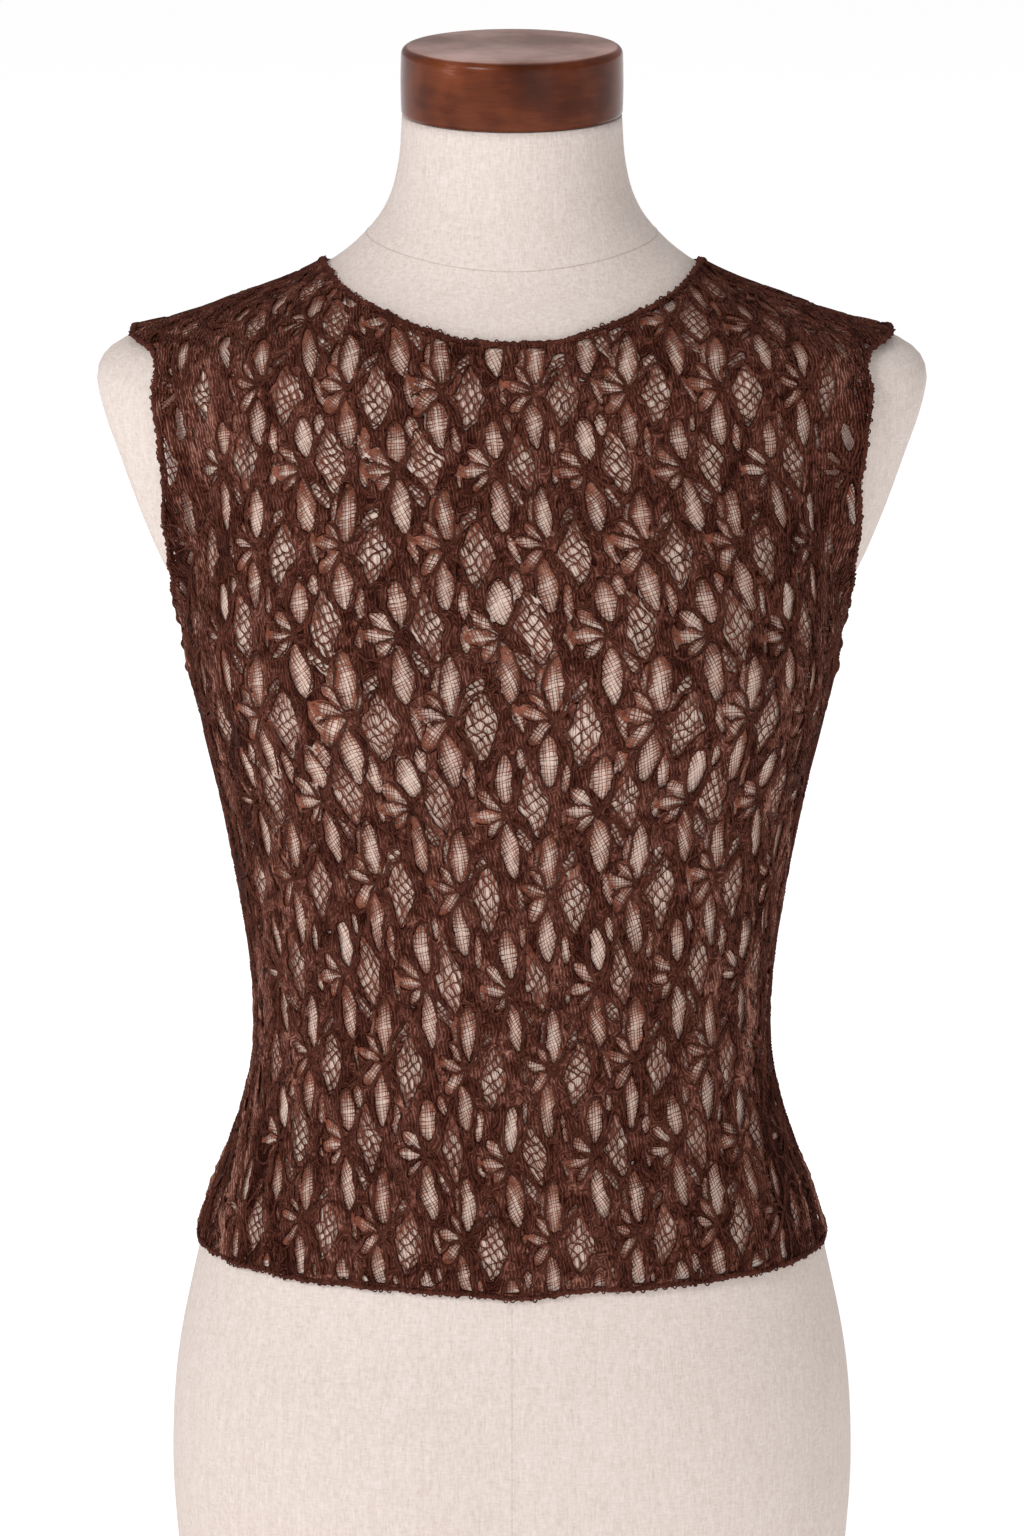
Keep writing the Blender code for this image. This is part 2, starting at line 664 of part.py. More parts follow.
def main():
    for item in list(bpy.data.objects):
        bpy.data.objects.remove(item)
    parts = bpy.data.collections.new(NAME)
    bpy.context.scene.collection.children.link(parts)
    add_dress_form(parts)
    add_neck_cap(parts)
    lace = material("brown stretch lace", (0.085, 0.035, 0.026), 0.85)
    cord = material("brown edging cord", (0.05, 0.02, 0.015), 0.8)
    add_panel("front_panel", -1, lace, parts)
    add_panel("back_panel", 1, lace, parts)
    add_edging("neck_edging", *neck_line(), 1, cord, parts)
    around = np.linspace(-math.pi, math.pi, HEM_POINTS + 1)[:-1]
    add_edging("hem_edging", around, hemline(around), 1, cord, parts)
    add_edging("armhole_edging_left", *armhole_line(), 1, cord, parts)
    add_edging("armhole_edging_right", *armhole_line(), -1, cord, parts)


main()
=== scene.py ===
"""Looks of the lace tank top on its dress form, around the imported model; sizes are in mm."""
import math
from collections import namedtuple

import bpy
import numpy as np
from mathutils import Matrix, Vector


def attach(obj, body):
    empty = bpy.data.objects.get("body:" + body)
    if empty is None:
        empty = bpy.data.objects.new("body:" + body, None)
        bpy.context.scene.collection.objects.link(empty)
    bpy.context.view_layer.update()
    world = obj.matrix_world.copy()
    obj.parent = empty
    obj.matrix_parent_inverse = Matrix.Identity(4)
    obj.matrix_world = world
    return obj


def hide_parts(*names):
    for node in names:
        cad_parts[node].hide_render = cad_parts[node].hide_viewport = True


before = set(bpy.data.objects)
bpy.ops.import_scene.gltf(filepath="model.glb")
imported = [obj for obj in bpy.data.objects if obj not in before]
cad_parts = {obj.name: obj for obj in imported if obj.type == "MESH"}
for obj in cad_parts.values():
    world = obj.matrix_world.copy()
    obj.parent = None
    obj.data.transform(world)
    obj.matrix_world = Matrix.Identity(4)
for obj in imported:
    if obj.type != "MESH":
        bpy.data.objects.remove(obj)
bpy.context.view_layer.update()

MM = 0.001

# Section table of the dress form, in millimetres, one row a height.
#   width: half width over the arm caps        chest: half width of the trunk alone
#   front, back: depth before and behind the shoulder line
#   cap: half depth of the arm cap             square: exponent of the superellipse
FORM_COLUMNS = ("height", "width", "chest", "front", "back", "cap", "square")
FORM_ROWS = (
    (0, 156.8, 156.8, 101, 110, 0, 2.30),
    (60, 160.6, 160.6, 104, 119, 0, 2.30),
    (110, 157.8, 157.8, 103, 121, 0, 2.30),
    (150, 150.2, 150.2, 99, 115, 0, 2.28),
    (180, 142.8, 142.8, 96, 106, 0, 2.25),
    (215, 130.0, 130.0, 92, 95, 0, 2.22),
    (245, 121.0, 121.0, 89, 87, 0, 2.20),
    (280, 118.0, 118.0, 86, 83, 0, 2.20),
    (310, 120.5, 120.5, 87, 84, 0, 2.20),
    (345, 126.0, 126.0, 91, 89, 0, 2.22),
    (380, 132.5, 132.5, 98, 95, 0, 2.25),
    (415, 140.3, 140.3, 107, 101, 0, 2.30),
    (445, 147.5, 147.0, 113, 105, 22, 2.35),
    (470, 151.2, 149.6, 115, 107, 27, 2.38),
    (483, 154.5, 149.6, 114, 107.5, 34, 2.40),
    (500, 162.5, 150.2, 111, 107.5, 42, 2.40),
    (517, 169.5, 151.4, 107, 107, 47.5, 2.38),
    (534, 176.0, 153.4, 102.5, 106, 50, 2.34),
    (551, 182.0, 157.5, 97, 105, 50.5, 2.30),
    (562, 186.0, 161.0, 93.5, 103.5, 49.5, 2.27),
    (573, 189.0, 165.5, 90, 101.5, 47, 2.23),
    (580, 189.9, 169.0, 87.5, 100, 44, 2.20),
    (585, 189.6, 171.6, 85.8, 98.7, 41, 2.18),
    (590, 187.2, 172.8, 84, 97, 37, 2.15),
    (595, 181.8, 171.0, 82, 95, 32, 2.12),
    (600, 172.0, 165.0, 79.6, 92.5, 27, 2.10),
    (604.4, 155.5, 151.5, 76.6, 89.5, 22, 2.08),
    (611.6, 132.8, 132.8, 72.8, 85, 0, 2.05),
    (619.4, 111.0, 111.0, 68.6, 79.6, 0, 2.02),
    (627.4, 93.5, 93.5, 64.2, 74, 0, 2.0),
    (633.8, 83.0, 83.0, 61, 69.6, 0, 2.0),
    (639.8, 75.0, 75.0, 58.8, 66.4, 0, 2.0),
    (647, 67.6, 67.6, 56.8, 62.8, 0, 2.0),
    (655, 61.0, 61.0, 54.6, 58.6, 0, 2.0),
    (665, 55.8, 55.8, 52.6, 54.8, 0, 2.0),
    (680, 52.0, 52.0, 51.0, 51.8, 0, 2.0),
    (702.2, 50.2, 50.2, 50.2, 50.2, 0, 2.0),
)

FORM = dict(zip(FORM_COLUMNS, zip(*FORM_ROWS)))
FORM_TOP = FORM["height"][-1]
BASE_ROUNDING = 3.0
FORM_GRID = ((176, 168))

# Arm caps: exponent of their section, and how far round they melt into the trunk.
CAP_SQUARE = 3.4
CAP_BLEND_LOW = 8.0
CAP_BLEND_HIGH = 28.0
CAP_PROUD = 6.0

# The two soft swells of the bust: angle from straight ahead, height, rise and spread.
BUST_ANGLE = math.radians(36)
BUST_ANGLE_SPREAD = math.radians(24)
BUST_HEIGHT = 448.0
BUST_HEIGHT_SPREAD = 42.0
BUST_RISE = 12.0

# Wooden neck cap.
NECK_CAP_RADIUS = 50.6
NECK_CAP_BOTTOM = 702.5
NECK_CAP_TOP = 734.0
NECK_CAP_TOP_ROUNDING = 3.6
NECK_CAP_BOTTOM_ROUNDING = 2.2
NECK_CAP_SWELL = 0.25

# Cloth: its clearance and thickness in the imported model, and how much it spans the arm caps' hollows.
CLOTH_CLEARANCE = 1.5
CLOTH_THICKNESS = 1.2
CLOTH_BRIDGE = 1.8
CLOTH_MIDDLE = CLOTH_CLEARANCE + CLOTH_THICKNESS / 2

# Outline of the top on the form: heights in mm, angles in degrees from the side.
HEM_HEIGHT = 168.0
HEM_RISE = 3.0
HEM_DIP_WIDTH = 0.3
NECKLINE_COLUMNS = ("angle", "height")
NECKLINE_ROWS = (
    (-90, 609.8),
    (-72, 611.2),
    (-60, 615.0),
    (-50, 618.8),
    (-38, 623.4),
    (-25, 628.0),
    (-12, 631.8),
    (0, 632.4),
    (12, 629.6),
    (25, 624.6),
    (38, 620.2),
    (52, 617.2),
    (68, 615.2),
    (90, 614.4),
)
NECKLINE = dict(zip(NECKLINE_COLUMNS, zip(*NECKLINE_ROWS)))
ARMHOLE_TOP = 600.5
ARMHOLE_MIDDLE = 550.0
ARMHOLE_BOTTOM = 474.0
ARMHOLE_FRONT_DEPTH = 45.5
ARMHOLE_BACK_DEPTH = 42.0
ARMHOLE_TOP_POWER = 2.9
ARMHOLE_BOTTOM_POWER = 1.8

# Lace repeats.  Hubs stand on rows; every other row is moved by half a repeat and turned over.
#   run: distance up the cloth from the height where the chest is measured
#   repeat: width of one repeat        lean: where the middle hub stands
#   dip: how far a row sinks for each unit that the form turns away
LACE_START_HEIGHT = 520.0
LACE_COLUMNS = ("row", "run", "repeat", "lean", "dip")
LACE_ROWS = (
    (-1, 146.0, 42.0, -12.5, 0.20),
    (0, 110.0, 42.0, -11.7, 0.20),
    (1, 74.0, 42.0, -10.7, 0.20),
    (2, 38.2, 43.3, -9.2, 0.20),
    (3, 3.1, 45.2, -7.3, 0.20),
    (4, -36.4, 47.1, -5.0, 0.21),
    (5, -75.1, 46.7, -4.4, 0.22),
    (6, -121.9, 41.8, -3.7, 0.23),
    (7, -164.6, 39.9, -3.1, 0.23),
    (8, -212.1, 38.9, -1.1, 0.23),
    (9, -251.6, 38.7, -1.1, 0.23),
    (10, -293.8, 38.7, -1.0, 0.23),
    (11, -332.1, 39.7, -0.4, 0.23),
    (12, -372.0, 39.7, 0.0, 0.23),
)
LACE = dict(zip(LACE_COLUMNS, zip(*LACE_ROWS)))
FIRST_ROW = LACE["row"][0]
LAST_ROW = LACE["row"][-1]
HUBS_A_SIDE = 6

# Distance between rows past the first and past the last.
ROW_ABOVE = 36.0
ROW_BELOW = 40.0

# Tables that unroll the form: spacing in mm, and how far they reach.
STEP = 2.0
UNROLL_LOW = 150.0
UNROLL_HIGH = 680.0
UNROLL_ACROSS = 260.0
UNROLL_TURNS = 261
UNROLL_PAST_SEAM = 1.3

# Camera, in metres and degrees, and its lens in mm.
CAMERA_PLACE = (0, -3.878, 1.376)
CAMERA_DOWN = 14.2
CAMERA_LENS = 201.61

# Area lights, in metres and watts: name, place, height on the form's axis aimed at, side, power.
LIGHTS = (
    ("key", (-1.7, -2.2, 2.1), 0.42, 0.8, 45.5),
    ("fill", (1.6, -2.8, 1.0), 0.42, 1.8, 6.0),
    ("top", (0.2, 1.2, 3.0), 0.40, 1.6, 10.0),
)
WORLD_LIGHT = 0.42
FLOOR_GLOW = 0.55
FLOOR_REACH = 30.0

# Grid of the laid-out cloth: spacing, and how far it reaches across and up.
CLOTH_GRID = 1.22
CLOTH_ACROSS = 226
CLOTH_RUN = (-364, 182)
CLOTH_BASE = 1.9
SPECK_LEVEL = 0.9

# Nets: spacing, half width of the threads, and the threads' slopes in degrees.  Fine nets fill the
# ovals, a hatching and a coarse net lie in the diamonds, and the smallest openings hold cells.
FINE_PITCH = 1.6
FINE_HALF = 0.25
FINE_NET_SLOPES = (12, 108)
HATCH_PITCH = 1.5
HATCH_SLOPES = (8,)
COARSE_PITCH = 3.5
CELL_PITCH = 2.3
COARSE_HALF = 0.40
COARSE_NET_SLOPES = (38, -54)
CHORD_SPILL = 0.7
CHORD_SHORTEST = 0.8
FINE_NET_RISE = 0.95
COARSE_NET_RISE = 1.25
KNOT_SPILL = 1.9

# Heavy threads, edgings and stitches: points on a thread, widths and spacings.
THREAD_POINTS = 11
THREAD_WIDTH = 0.74
THREAD_RISE = 0.45
EDGING_RADIUS = 0.95
EDGING_STEP = 0.8
STITCH_STEP = 0.55
STITCH_PITCH = 3.0
EDGE_STITCH_RADIUS = 0.36
SEAM_STITCH_RADIUS = 0.34

# Seams of the top: how far they lie off the form, and heights of the gathers under the arms.
SEAM_LIFT = 2.3
UNDERARM_KNOTS = (467.0, 454.5, 444.0)
SEAM_SLOPE = 150

# Table of distances round the armhole: its reach in turns and heights, and its size.
ARM_TURNS = (0.35, 1.06)
ARM_HEIGHTS = (440.0, 640.0)
ARM_GRID = (160, 150)

# Neck seam of the form: its height at the front, and how much higher it is at the sides.
NECK_SEAM = 640.5
NECK_SEAM_RISE = 7.5


def smooth(x, xs, ys):
    """Value at x of a smooth curve through the points (xs, ys)."""
    xs = np.asarray(xs, float)
    ys = np.asarray(ys, float)
    slopes = np.gradient(ys, xs)
    x = np.clip(x, xs[0], xs[-1])
    i = np.clip(np.searchsorted(xs, x, side="right") - 1, 0, len(xs) - 2)
    width = xs[i + 1] - xs[i]
    t = (x - xs[i]) / width
    return (
        ys[i] * (1 + 2 * t) * (1 - t) ** 2
        + slopes[i] * width * t * (1 - t) ** 2
        + ys[i + 1] * t * t * (3 - 2 * t)
        + slopes[i + 1] * width * t * t * (t - 1)
    )


def unit(vectors):
    """Vectors made 1 long."""
    return vectors / np.maximum(np.linalg.norm(vectors, axis=-1, keepdims=True), 1e-9)


def travelled(points, axis=0):
    """Distance from the first point, along one axis of an array of points."""
    steps = np.linalg.norm(np.diff(points, axis=axis), axis=-1)
    start = np.zeros_like(np.take(steps, [0], axis))
    return np.concatenate([start, np.cumsum(steps, axis=axis)], axis=axis)


def all_round(count, start=0.0):
    """Angles evenly spaced all round a circle."""
    return np.linspace(start, start + 2 * math.pi, count + 1)[:-1]


def form_value(name, height):
    """A column of the form's section table, at any height."""
    return smooth(height, FORM["height"], FORM[name])


def form_radius(angle, height, bridge=1.0):
    """Distance from the form's axis to its surface; angle 0 is +X and -90 degrees is the front.

    A bridge over 1 fills more of the hollow beside the arm caps.
    """
    cosine = np.abs(np.cos(angle))
    sine = np.sin(angle)
    depth = np.where(sine < 0, form_value("front", height), form_value("back", height))
    square = form_value("square", height)
    chest = form_value("chest", height)
    trunk = ((cosine / chest) ** square + (np.abs(sine) / depth) ** square) ** (-1 / square)
    cap_depth = np.maximum(form_value("cap", height), 1.0)
    width = form_value("width", height)
    arm = (cosine / width) ** CAP_SQUARE + (np.abs(sine) / cap_depth) ** CAP_SQUARE
    arm = arm ** (-1 / CAP_SQUARE)
    proud = width - chest
    blend = np.clip(CAP_BLEND_LOW + proud, CAP_BLEND_LOW, CAP_BLEND_HIGH)
    apart = np.clip(np.abs(trunk - arm) / blend, 0, 1)
    rounding = np.clip(proud / CAP_PROUD, 0, 1) * blend / 4
    radius = np.maximum(trunk, arm) + (1 - apart) ** 2 * rounding
    radius += (1 - apart**2) ** 2 * rounding * (bridge - 1)
    ahead = np.abs(np.arctan2(np.cos(angle), -sine))
    swell = np.exp(-(((ahead - BUST_ANGLE) / BUST_ANGLE_SPREAD) ** 2))
    return radius + BUST_RISE * swell * np.exp(-(((height - BUST_HEIGHT) / BUST_HEIGHT_SPREAD) ** 2))


def form_point(angle, height, bridge=1.0):
    """Points on the form's surface, in millimetres."""
    angle, height = np.broadcast_arrays(np.asarray(angle, float), np.asarray(height, float))
    radius = form_radius(angle, height, bridge)
    return np.stack([radius * np.cos(angle), radius * np.sin(angle), height], axis=-1)


def under_cloth(angle, height):
    """Points that the cloth lies over: the form, with the hollows that the cloth spans filled."""
    return form_point(angle, height, CLOTH_BRIDGE)


def cloth_normal(angle, height):
    """Outward unit normals of the cloth."""
    turn = 1e-3
    rise = 0.25
    around = under_cloth(angle + turn, height) - under_cloth(angle - turn, height)
    along = under_cloth(angle, height + rise) - under_cloth(angle, height - rise)
    return unit(np.cross(around, along))


def in_cloth(angle, height, distance):
    """Points of the cloth a given distance off the form."""
    return under_cloth(angle, height) + cloth_normal(angle, height) * distance


def lace_value(name, row):
    """A column of the lace table, at any row number, whole or not."""
    return smooth(row, LACE["row"], LACE[name])


def between(table, x, y):
    """Value of a table at fractional places x along its first axis and y along its second."""
    x = np.clip(x, 0, table.shape[0] - 1.001)
    y = np.clip(y, 0, table.shape[1] - 1.001)
    i = x.astype(int)
    j = y.astype(int)
    u = x - i
    v = y - j
    low = table[i, j] * (1 - v) + table[i, j + 1] * v
    high = table[i + 1, j] * (1 - v) + table[i + 1, j + 1] * v
    return low * (1 - u) + high * u


class Unrolled:
    """The front (side -1) or back (side +1) of the form, laid flat.

    A place on it is a distance across from the middle line and a run up the cloth, both in mm.
    A turn of 0 is the middle line and a turn of 1 is the seam under the arm or on the shoulder.
    """

    def __init__(self, side):
        self.side = side
        heights = np.arange(UNROLL_LOW, UNROLL_HIGH, STEP)
        turns = np.linspace(0, UNROLL_PAST_SEAM, UNROLL_TURNS)
        arcs = travelled(under_cloth(self.angle(turns)[None, :], heights[:, None]), 1)
        places = np.arange(0, UNROLL_ACROSS, STEP)
        self.turns = np.array([np.interp(places, arc, turns) for arc in arcs])
        points = under_cloth(self.angle(self.turns), heights[:, None])
        run = travelled(points)
        run -= run[int((LACE_START_HEIGHT - UNROLL_LOW) / STEP)]
        rows = LACE["row"][::-1]
        middle_row = np.interp(run[:, 0], lace_value("run", rows), rows)
        dip = lace_value("dip", middle_row)
        run = run + dip[:, None] * np.abs(points[:, :, 1] - points[:, :1, 1])
        self.lowest_run = run.min()
        runs = np.arange(self.lowest_run, run.max(), STEP)
        self.heights = np.array([np.interp(runs, line, heights) for line in run.T])

    def angle(self, turn):
        """Angle about the form's axis at a turn."""
        return self.side * (math.pi / 2) * (1 - turn)

    def worn(self, across, run):
        """Turn and height of a place on the laid-out cloth; across is 0 or more."""
        k = np.asarray(across, float) / STEP
        height = between(self.heights, k, (np.asarray(run, float) - self.lowest_run) / STEP)
        return between(self.turns, (height - UNROLL_LOW) / STEP, k), height


def hemline(angle):
    """Height of the hem at an angle about the form's axis; it dips at the middle of each side."""
    return HEM_HEIGHT + HEM_RISE * (1 - np.exp(-((np.cos(angle) / HEM_DIP_WIDTH) ** 2)))


def neckline(angle):
    """Height of the neckline at an angle about the form's axis."""
    folded = np.degrees(np.arctan2(np.sin(angle), np.abs(np.cos(angle))))
    return smooth(folded, NECKLINE["angle"], NECKLINE["height"])


def armhole_outline(above):
    """Exponent and reach of the armhole's outline, over its middle or under it."""
    power = np.where(above, ARMHOLE_TOP_POWER, ARMHOLE_BOTTOM_POWER)
    return power, np.where(above, ARMHOLE_TOP - ARMHOLE_MIDDLE, ARMHOLE_MIDDLE - ARMHOLE_BOTTOM)


def armhole_size(y, height, depth):
    """1 on the armhole's outline as seen from the side, and less inside it."""
    power, reach = armhole_outline(height > ARMHOLE_MIDDLE)
    size = (np.abs(y) / depth) ** power + (np.abs(height - ARMHOLE_MIDDLE) / reach) ** power
    return size ** (1 / power)


def armhole(spin):
    """Angle and height of the right armhole's edge; spin 0 is its top and pi its bottom."""
    sine = np.sin(spin)
    cosine = np.cos(spin)
    power, reach = armhole_outline(cosine > 0)
    depth = np.where(sine < 0, ARMHOLE_FRONT_DEPTH, ARMHOLE_BACK_DEPTH)
    y = depth * np.sign(sine) * np.abs(sine) ** (2 / power)
    height = ARMHOLE_MIDDLE + reach * np.sign(cosine) * np.abs(cosine) ** (2 / power)
    low = np.full_like(y, -1.0)
    high = np.full_like(y, 1.0)
    for _ in range(40):
        angle = (low + high) / 2
        short = form_radius(angle, height, CLOTH_BRIDGE) * np.sin(angle) < y
        low = np.where(short, angle, low)
        high = np.where(short, high, angle)
    return angle, height


# Nominal size of one lace repeat, in mm, on which the charts below are drawn.
REPEAT = 46.7
ROW = 39.5

# Openings around a hub: middle, half length, half width, tilt of the length in degrees,
# exponent of the outline and what fills it.
Opening = namedtuple("Opening", ("x", "y", "long", "wide", "tilt", "power", "fill"))
UPRIGHT_CHART = (
    Opening(0.9, 15.2, 10.2, 5.0, 94, 1.65, "fine"),
    Opening(2.3, -17.8, 13.8, 4.9, 98, 1.6, "fine"),
    Opening(8.3, 22.7, 5.4, 2.6, 97, 1.7, "fine"),
    Opening(14.7, 3.9, 16.8, 7.8, 99, 1.12, "coarse"),
    Opening(-7.2, 5.6, 7.0, 3.6, 142, 1.8, "fine"),
    Opening(-9.2, -0.8, 7.0, 3.3, 178, 1.8, "fine"),
    Opening(-5.4, -6.2, 5.6, 2.7, 228, 1.8, "fine"),
    Opening(-15.8, -1.6, 6.2, 1.5, 96, 1.7, "fine"),
    Opening(17.3, -21.3, 7.8, 2.2, 88, 1.7, "fine"),
    Opening(10.4, -13.0, 7.4, 2.7, 119, 1.5, "cells"),
)
TURNED_CHART = (
    Opening(0.0, 17.8, 14.0, 5.0, 92, 1.6, "fine"),
    Opening(-1.5, -16.7, 12.0, 4.9, 96, 1.65, "fine"),
    Opening(4.8, 7.2, 4.3, 2.2, 64, 1.8, "fine"),
    Opening(14.0, -2.7, 16.4, 8.2, 86, 1.12, "coarse"),
    Opening(-6.4, 8.4, 6.6, 3.1, 128, 1.8, "fine"),
    Opening(-9.4, 2.6, 6.8, 3.3, 161, 1.8, "fine"),
    Opening(-7.2, -5.8, 7.6, 3.8, 226, 1.8, "fine"),
    Opening(-16.0, 0.4, 7.8, 1.7, 106, 1.7, "fine"),
    Opening(7.2, -24.4, 7.8, 2.3, 90, 1.7, "fine"),
    Opening(5.6, -5.2, 3.6, 1.1, 125, 1.8, "fine"),
    Opening(11.0, 14.2, 6.4, 2.6, 61, 1.5, "cells"),
)
# Heavy threads around a hub, as points of smooth lines, with their half widths.
UPRIGHT_THREADS = (
    (0.75, ((0.5, 0), (-4, 2.2), (-9, 3.4), (-14, 4.0))),
    (0.75, ((0.5, 0), (-4, -1.8), (-8.5, -4.4), (-11.5, -7.8))),
    (0.9, ((0.0, 1.0), (-2.5, 5.5), (-6.5, 10.5), (-11.0, 13.5))),
    (0.9, ((0.5, -1), (5.5, -4.2), (11, -9.2), (16.5, -12.6), (22.5, -9.0))),
    (0.9, ((0.8, 1), (5.6, 4.4), (8.2, 11), (10.5, 18.5), (14, 24))),
    (0.9, ((-0.8, -1), (-2.6, -8), (-3.6, -18), (-1.4, -28), (3.6, -33))),
    (0.8, ((1.2, -1.5), (5.2, -9.5), (7.8, -19), (6.4, -28))),
    (0.8, ((-0.8, 1.5), (-4.8, 9), (-4.8, 18), (-1.2, 24.5), (4.5, 24.8))),
    (0.8, ((1.2, 1.5), (5.6, 8.5), (6.4, 17), (3.8, 24))),
    (0.7, ((-1, -0.8), (-5, -8.5), (-11, -12.5), (-17, -9.5), (-18.5, -2))),
)
TURNED_THREADS = (
    (0.75, ((0.5, 0), (-3.6, 3.2), (-8.4, 5.6), (-13, 6.6))),
    (0.75, ((0.5, 0), (-4, 0.2), (-9.4, -0.6), (-14.4, -3.2))),
    (0.9, ((-0.5, 1.2), (-4.5, 9), (-5.2, 19), (-2.0, 29), (2.0, 31.5))),
    (0.9, ((1.0, 1.2), (4.2, 6), (5.4, 17), (3.4, 28.5))),
    (0.9, ((0.8, 0.8), (5.6, 5), (10, 11), (15, 13.8), (20, 10))),
    (0.9, ((0.8, -1), (5.8, -5.4), (8.6, -12), (12, -17.6), (15.5, -14))),
    (0.8, ((-1, -1.2), (-5.6, -9), (-6.4, -17.5), (-3.2, -27))),
    (0.8, ((0.6, -1.8), (3.4, -9), (3.8, -18), (1.2, -27))),
    (0.7, ((-1.2, 1.4), (-6, 11.5), (-12, 13.2), (-18, 9.6), (-19.5, 1))),
    (0.7, ((-1, -1), (-5, -8.2), (-11, -12.6), (-17.6, -9.0))),
)


def noise(x, y, seed):
    """Smooth noise from -1 to 1 with cells of size 1; each seed has its own."""
    table = np.random.default_rng(seed).uniform(-1, 1, (64, 64))
    i = np.floor(x).astype(int)
    j = np.floor(y).astype(int)
    u = x - i
    v = y - j
    u = u * u * (3 - 2 * u)
    v = v * v * (3 - 2 * v)
    i0, i1, j0, j1 = i % 64, (i + 1) % 64, j % 64, (j + 1) % 64
    low = table[i0, j0] * (1 - v) + table[i0, j1] * v
    high = table[i1, j0] * (1 - v) + table[i1, j1] * v
    return low * (1 - u) + high * u


def ripple(t, period, seed, lane=0):
    """Smooth noise along a line; each lane has its own."""
    return noise(t / period, 0 * t + lane, seed)


def ramp(x, low, high):
    """0 below low, 1 above high, smooth between."""
    t = np.clip((x - low) / (high - low), 0, 1)
    return t * t * (3 - 2 * t)


def fast_mesh(name, points, faces, finish, attributes=None):
    """A smooth-shaded object from points in mm and face arrays, one array for each corner count."""
    mesh = bpy.data.meshes.new(name)
    points = np.asarray(points, float) * MM
    corners = np.concatenate([face.ravel() for face in faces]).astype(np.int32)
    totals = np.concatenate([np.full(len(face), face.shape[1]) for face in faces])
    starts = np.concatenate([[0], np.cumsum(totals)[:-1]]).astype(np.int32)
    mesh.vertices.add(len(points))
    mesh.vertices.foreach_set("co", points.astype(np.float32).ravel())
    mesh.loops.add(len(corners))
    mesh.loops.foreach_set("vertex_index", corners)
    mesh.polygons.add(len(totals))
    mesh.polygons.foreach_set("loop_start", starts)
    mesh.update(calc_edges=True)
    mesh.shade_smooth()
    for label, values in (attributes or {}).items():
        layer = mesh.attributes.new(label, "FLOAT", "POINT")
        layer.data.foreach_set("value", np.asarray(values, np.float32))
    mesh.materials.append(finish)
    item = bpy.data.objects.new(name, mesh)
    bpy.context.scene.collection.objects.link(item)
    return item


def grid_faces(rows, columns, wrap_rows=False, wrap_columns=False):
    """Quads of a grid of points stored row by row."""
    i = np.arange(rows if wrap_rows else rows - 1)[:, None]
    j = np.arange(columns if wrap_columns else columns - 1)[None, :]
    i1 = (i + 1) % rows
    j1 = (j + 1) % columns
    quad = [i * columns + j, i * columns + j1, i1 * columns + j1, i1 * columns + j]
    return np.stack(np.broadcast_arrays(*quad), axis=-1).reshape(-1, 4)


def square_cut(case):
    """Corners (0 to 3) and edge crossings (4 to 7) round the part kept of a grid square.

    Bit k of the case is set where corner k is kept; crossing 4 + k lies between k and the next.
    """
    kept = [case >> k & 1 for k in range(4)]
    first = kept.index(1)
    picks = []
    for k in (*range(first, 4), *range(first)):
        if kept[k]:
            picks.append(k)
        if kept[k] != kept[(k + 1) % 4]:
            picks.append(4 + k)
    return picks


def cut_grid(xs, ys, field):
    """Points and faces of the part of a grid where a field is above 0."""
    inside = field > 0
    x, y = np.meshgrid(xs, ys, indexing="ij")
    corner_id = np.where(inside, np.cumsum(inside.ravel()).reshape(inside.shape) - 1, -1)
    points = [np.stack([x[inside], y[inside]], axis=-1)]
    count = len(points[0])
    ids = []
    for axis in (0, 1):
        ahead = np.roll(field, -1, axis)
        crossed = inside != (ahead > 0)
        crossed[(slice(None),) * axis + (-1,)] = False
        share = np.clip(field[crossed] / (field[crossed] - ahead[crossed]), 0.1, 0.9)
        place = np.stack([x[crossed], y[crossed]], axis=-1)
        place[:, axis] += share * (xs[1] - xs[0] if axis == 0 else ys[1] - ys[0])
        ids.append(np.where(crossed, np.cumsum(crossed.ravel()).reshape(field.shape) - 1 + count, -1))
        points.append(place)
        count += len(place)
    code = sum((inside[a : a + field.shape[0] - 1, b : b + field.shape[1] - 1] << k)
               for k, (a, b) in enumerate(((0, 0), (1, 0), (1, 1), (0, 1))))
    faces = {3: [], 4: [], 5: [], 6: []}
    for case in range(1, 16):
        picks = square_cut(case)
        i, j = np.nonzero(code == case)
        found = [
            corner_id[i, j], corner_id[i + 1, j], corner_id[i + 1, j + 1], corner_id[i, j + 1],
            ids[0][i, j], ids[1][i + 1, j], ids[0][i, j + 1], ids[1][i, j],
        ]
        faces[len(picks)].append(np.stack([found[k] for k in picks], axis=-1))
    return np.concatenate(points), [np.concatenate(face) for face in faces.values() if face]


def warp(x, y):
    """How far the lace is pulled out of its chart at a place."""
    pull_x = 1.3 * noise(x / 17, y / 15, 11) + 0.5 * noise(x / 6, y / 6, 12)
    pull_y = 1.3 * noise(x / 16, y / 18, 13) + 0.5 * noise(x / 6, y / 6, 14)
    return pull_x, pull_y


def superellipse(x, y, opening):
    """Rough distance to the outline of a chart's opening, under 0 inside."""
    cosine = math.cos(math.radians(opening.tilt))
    sine = math.sin(math.radians(opening.tilt))
    p = (x - opening.x) * cosine + (y - opening.y) * sine
    q = (y - opening.y) * cosine - (x - opening.x) * sine
    power = opening.power
    size = ((np.abs(p) / opening.long) ** power + (np.abs(q) / opening.wide) ** power) ** (1 / power)
    return np.hypot(p, q) * (1 - 1 / np.maximum(size, 0.05))


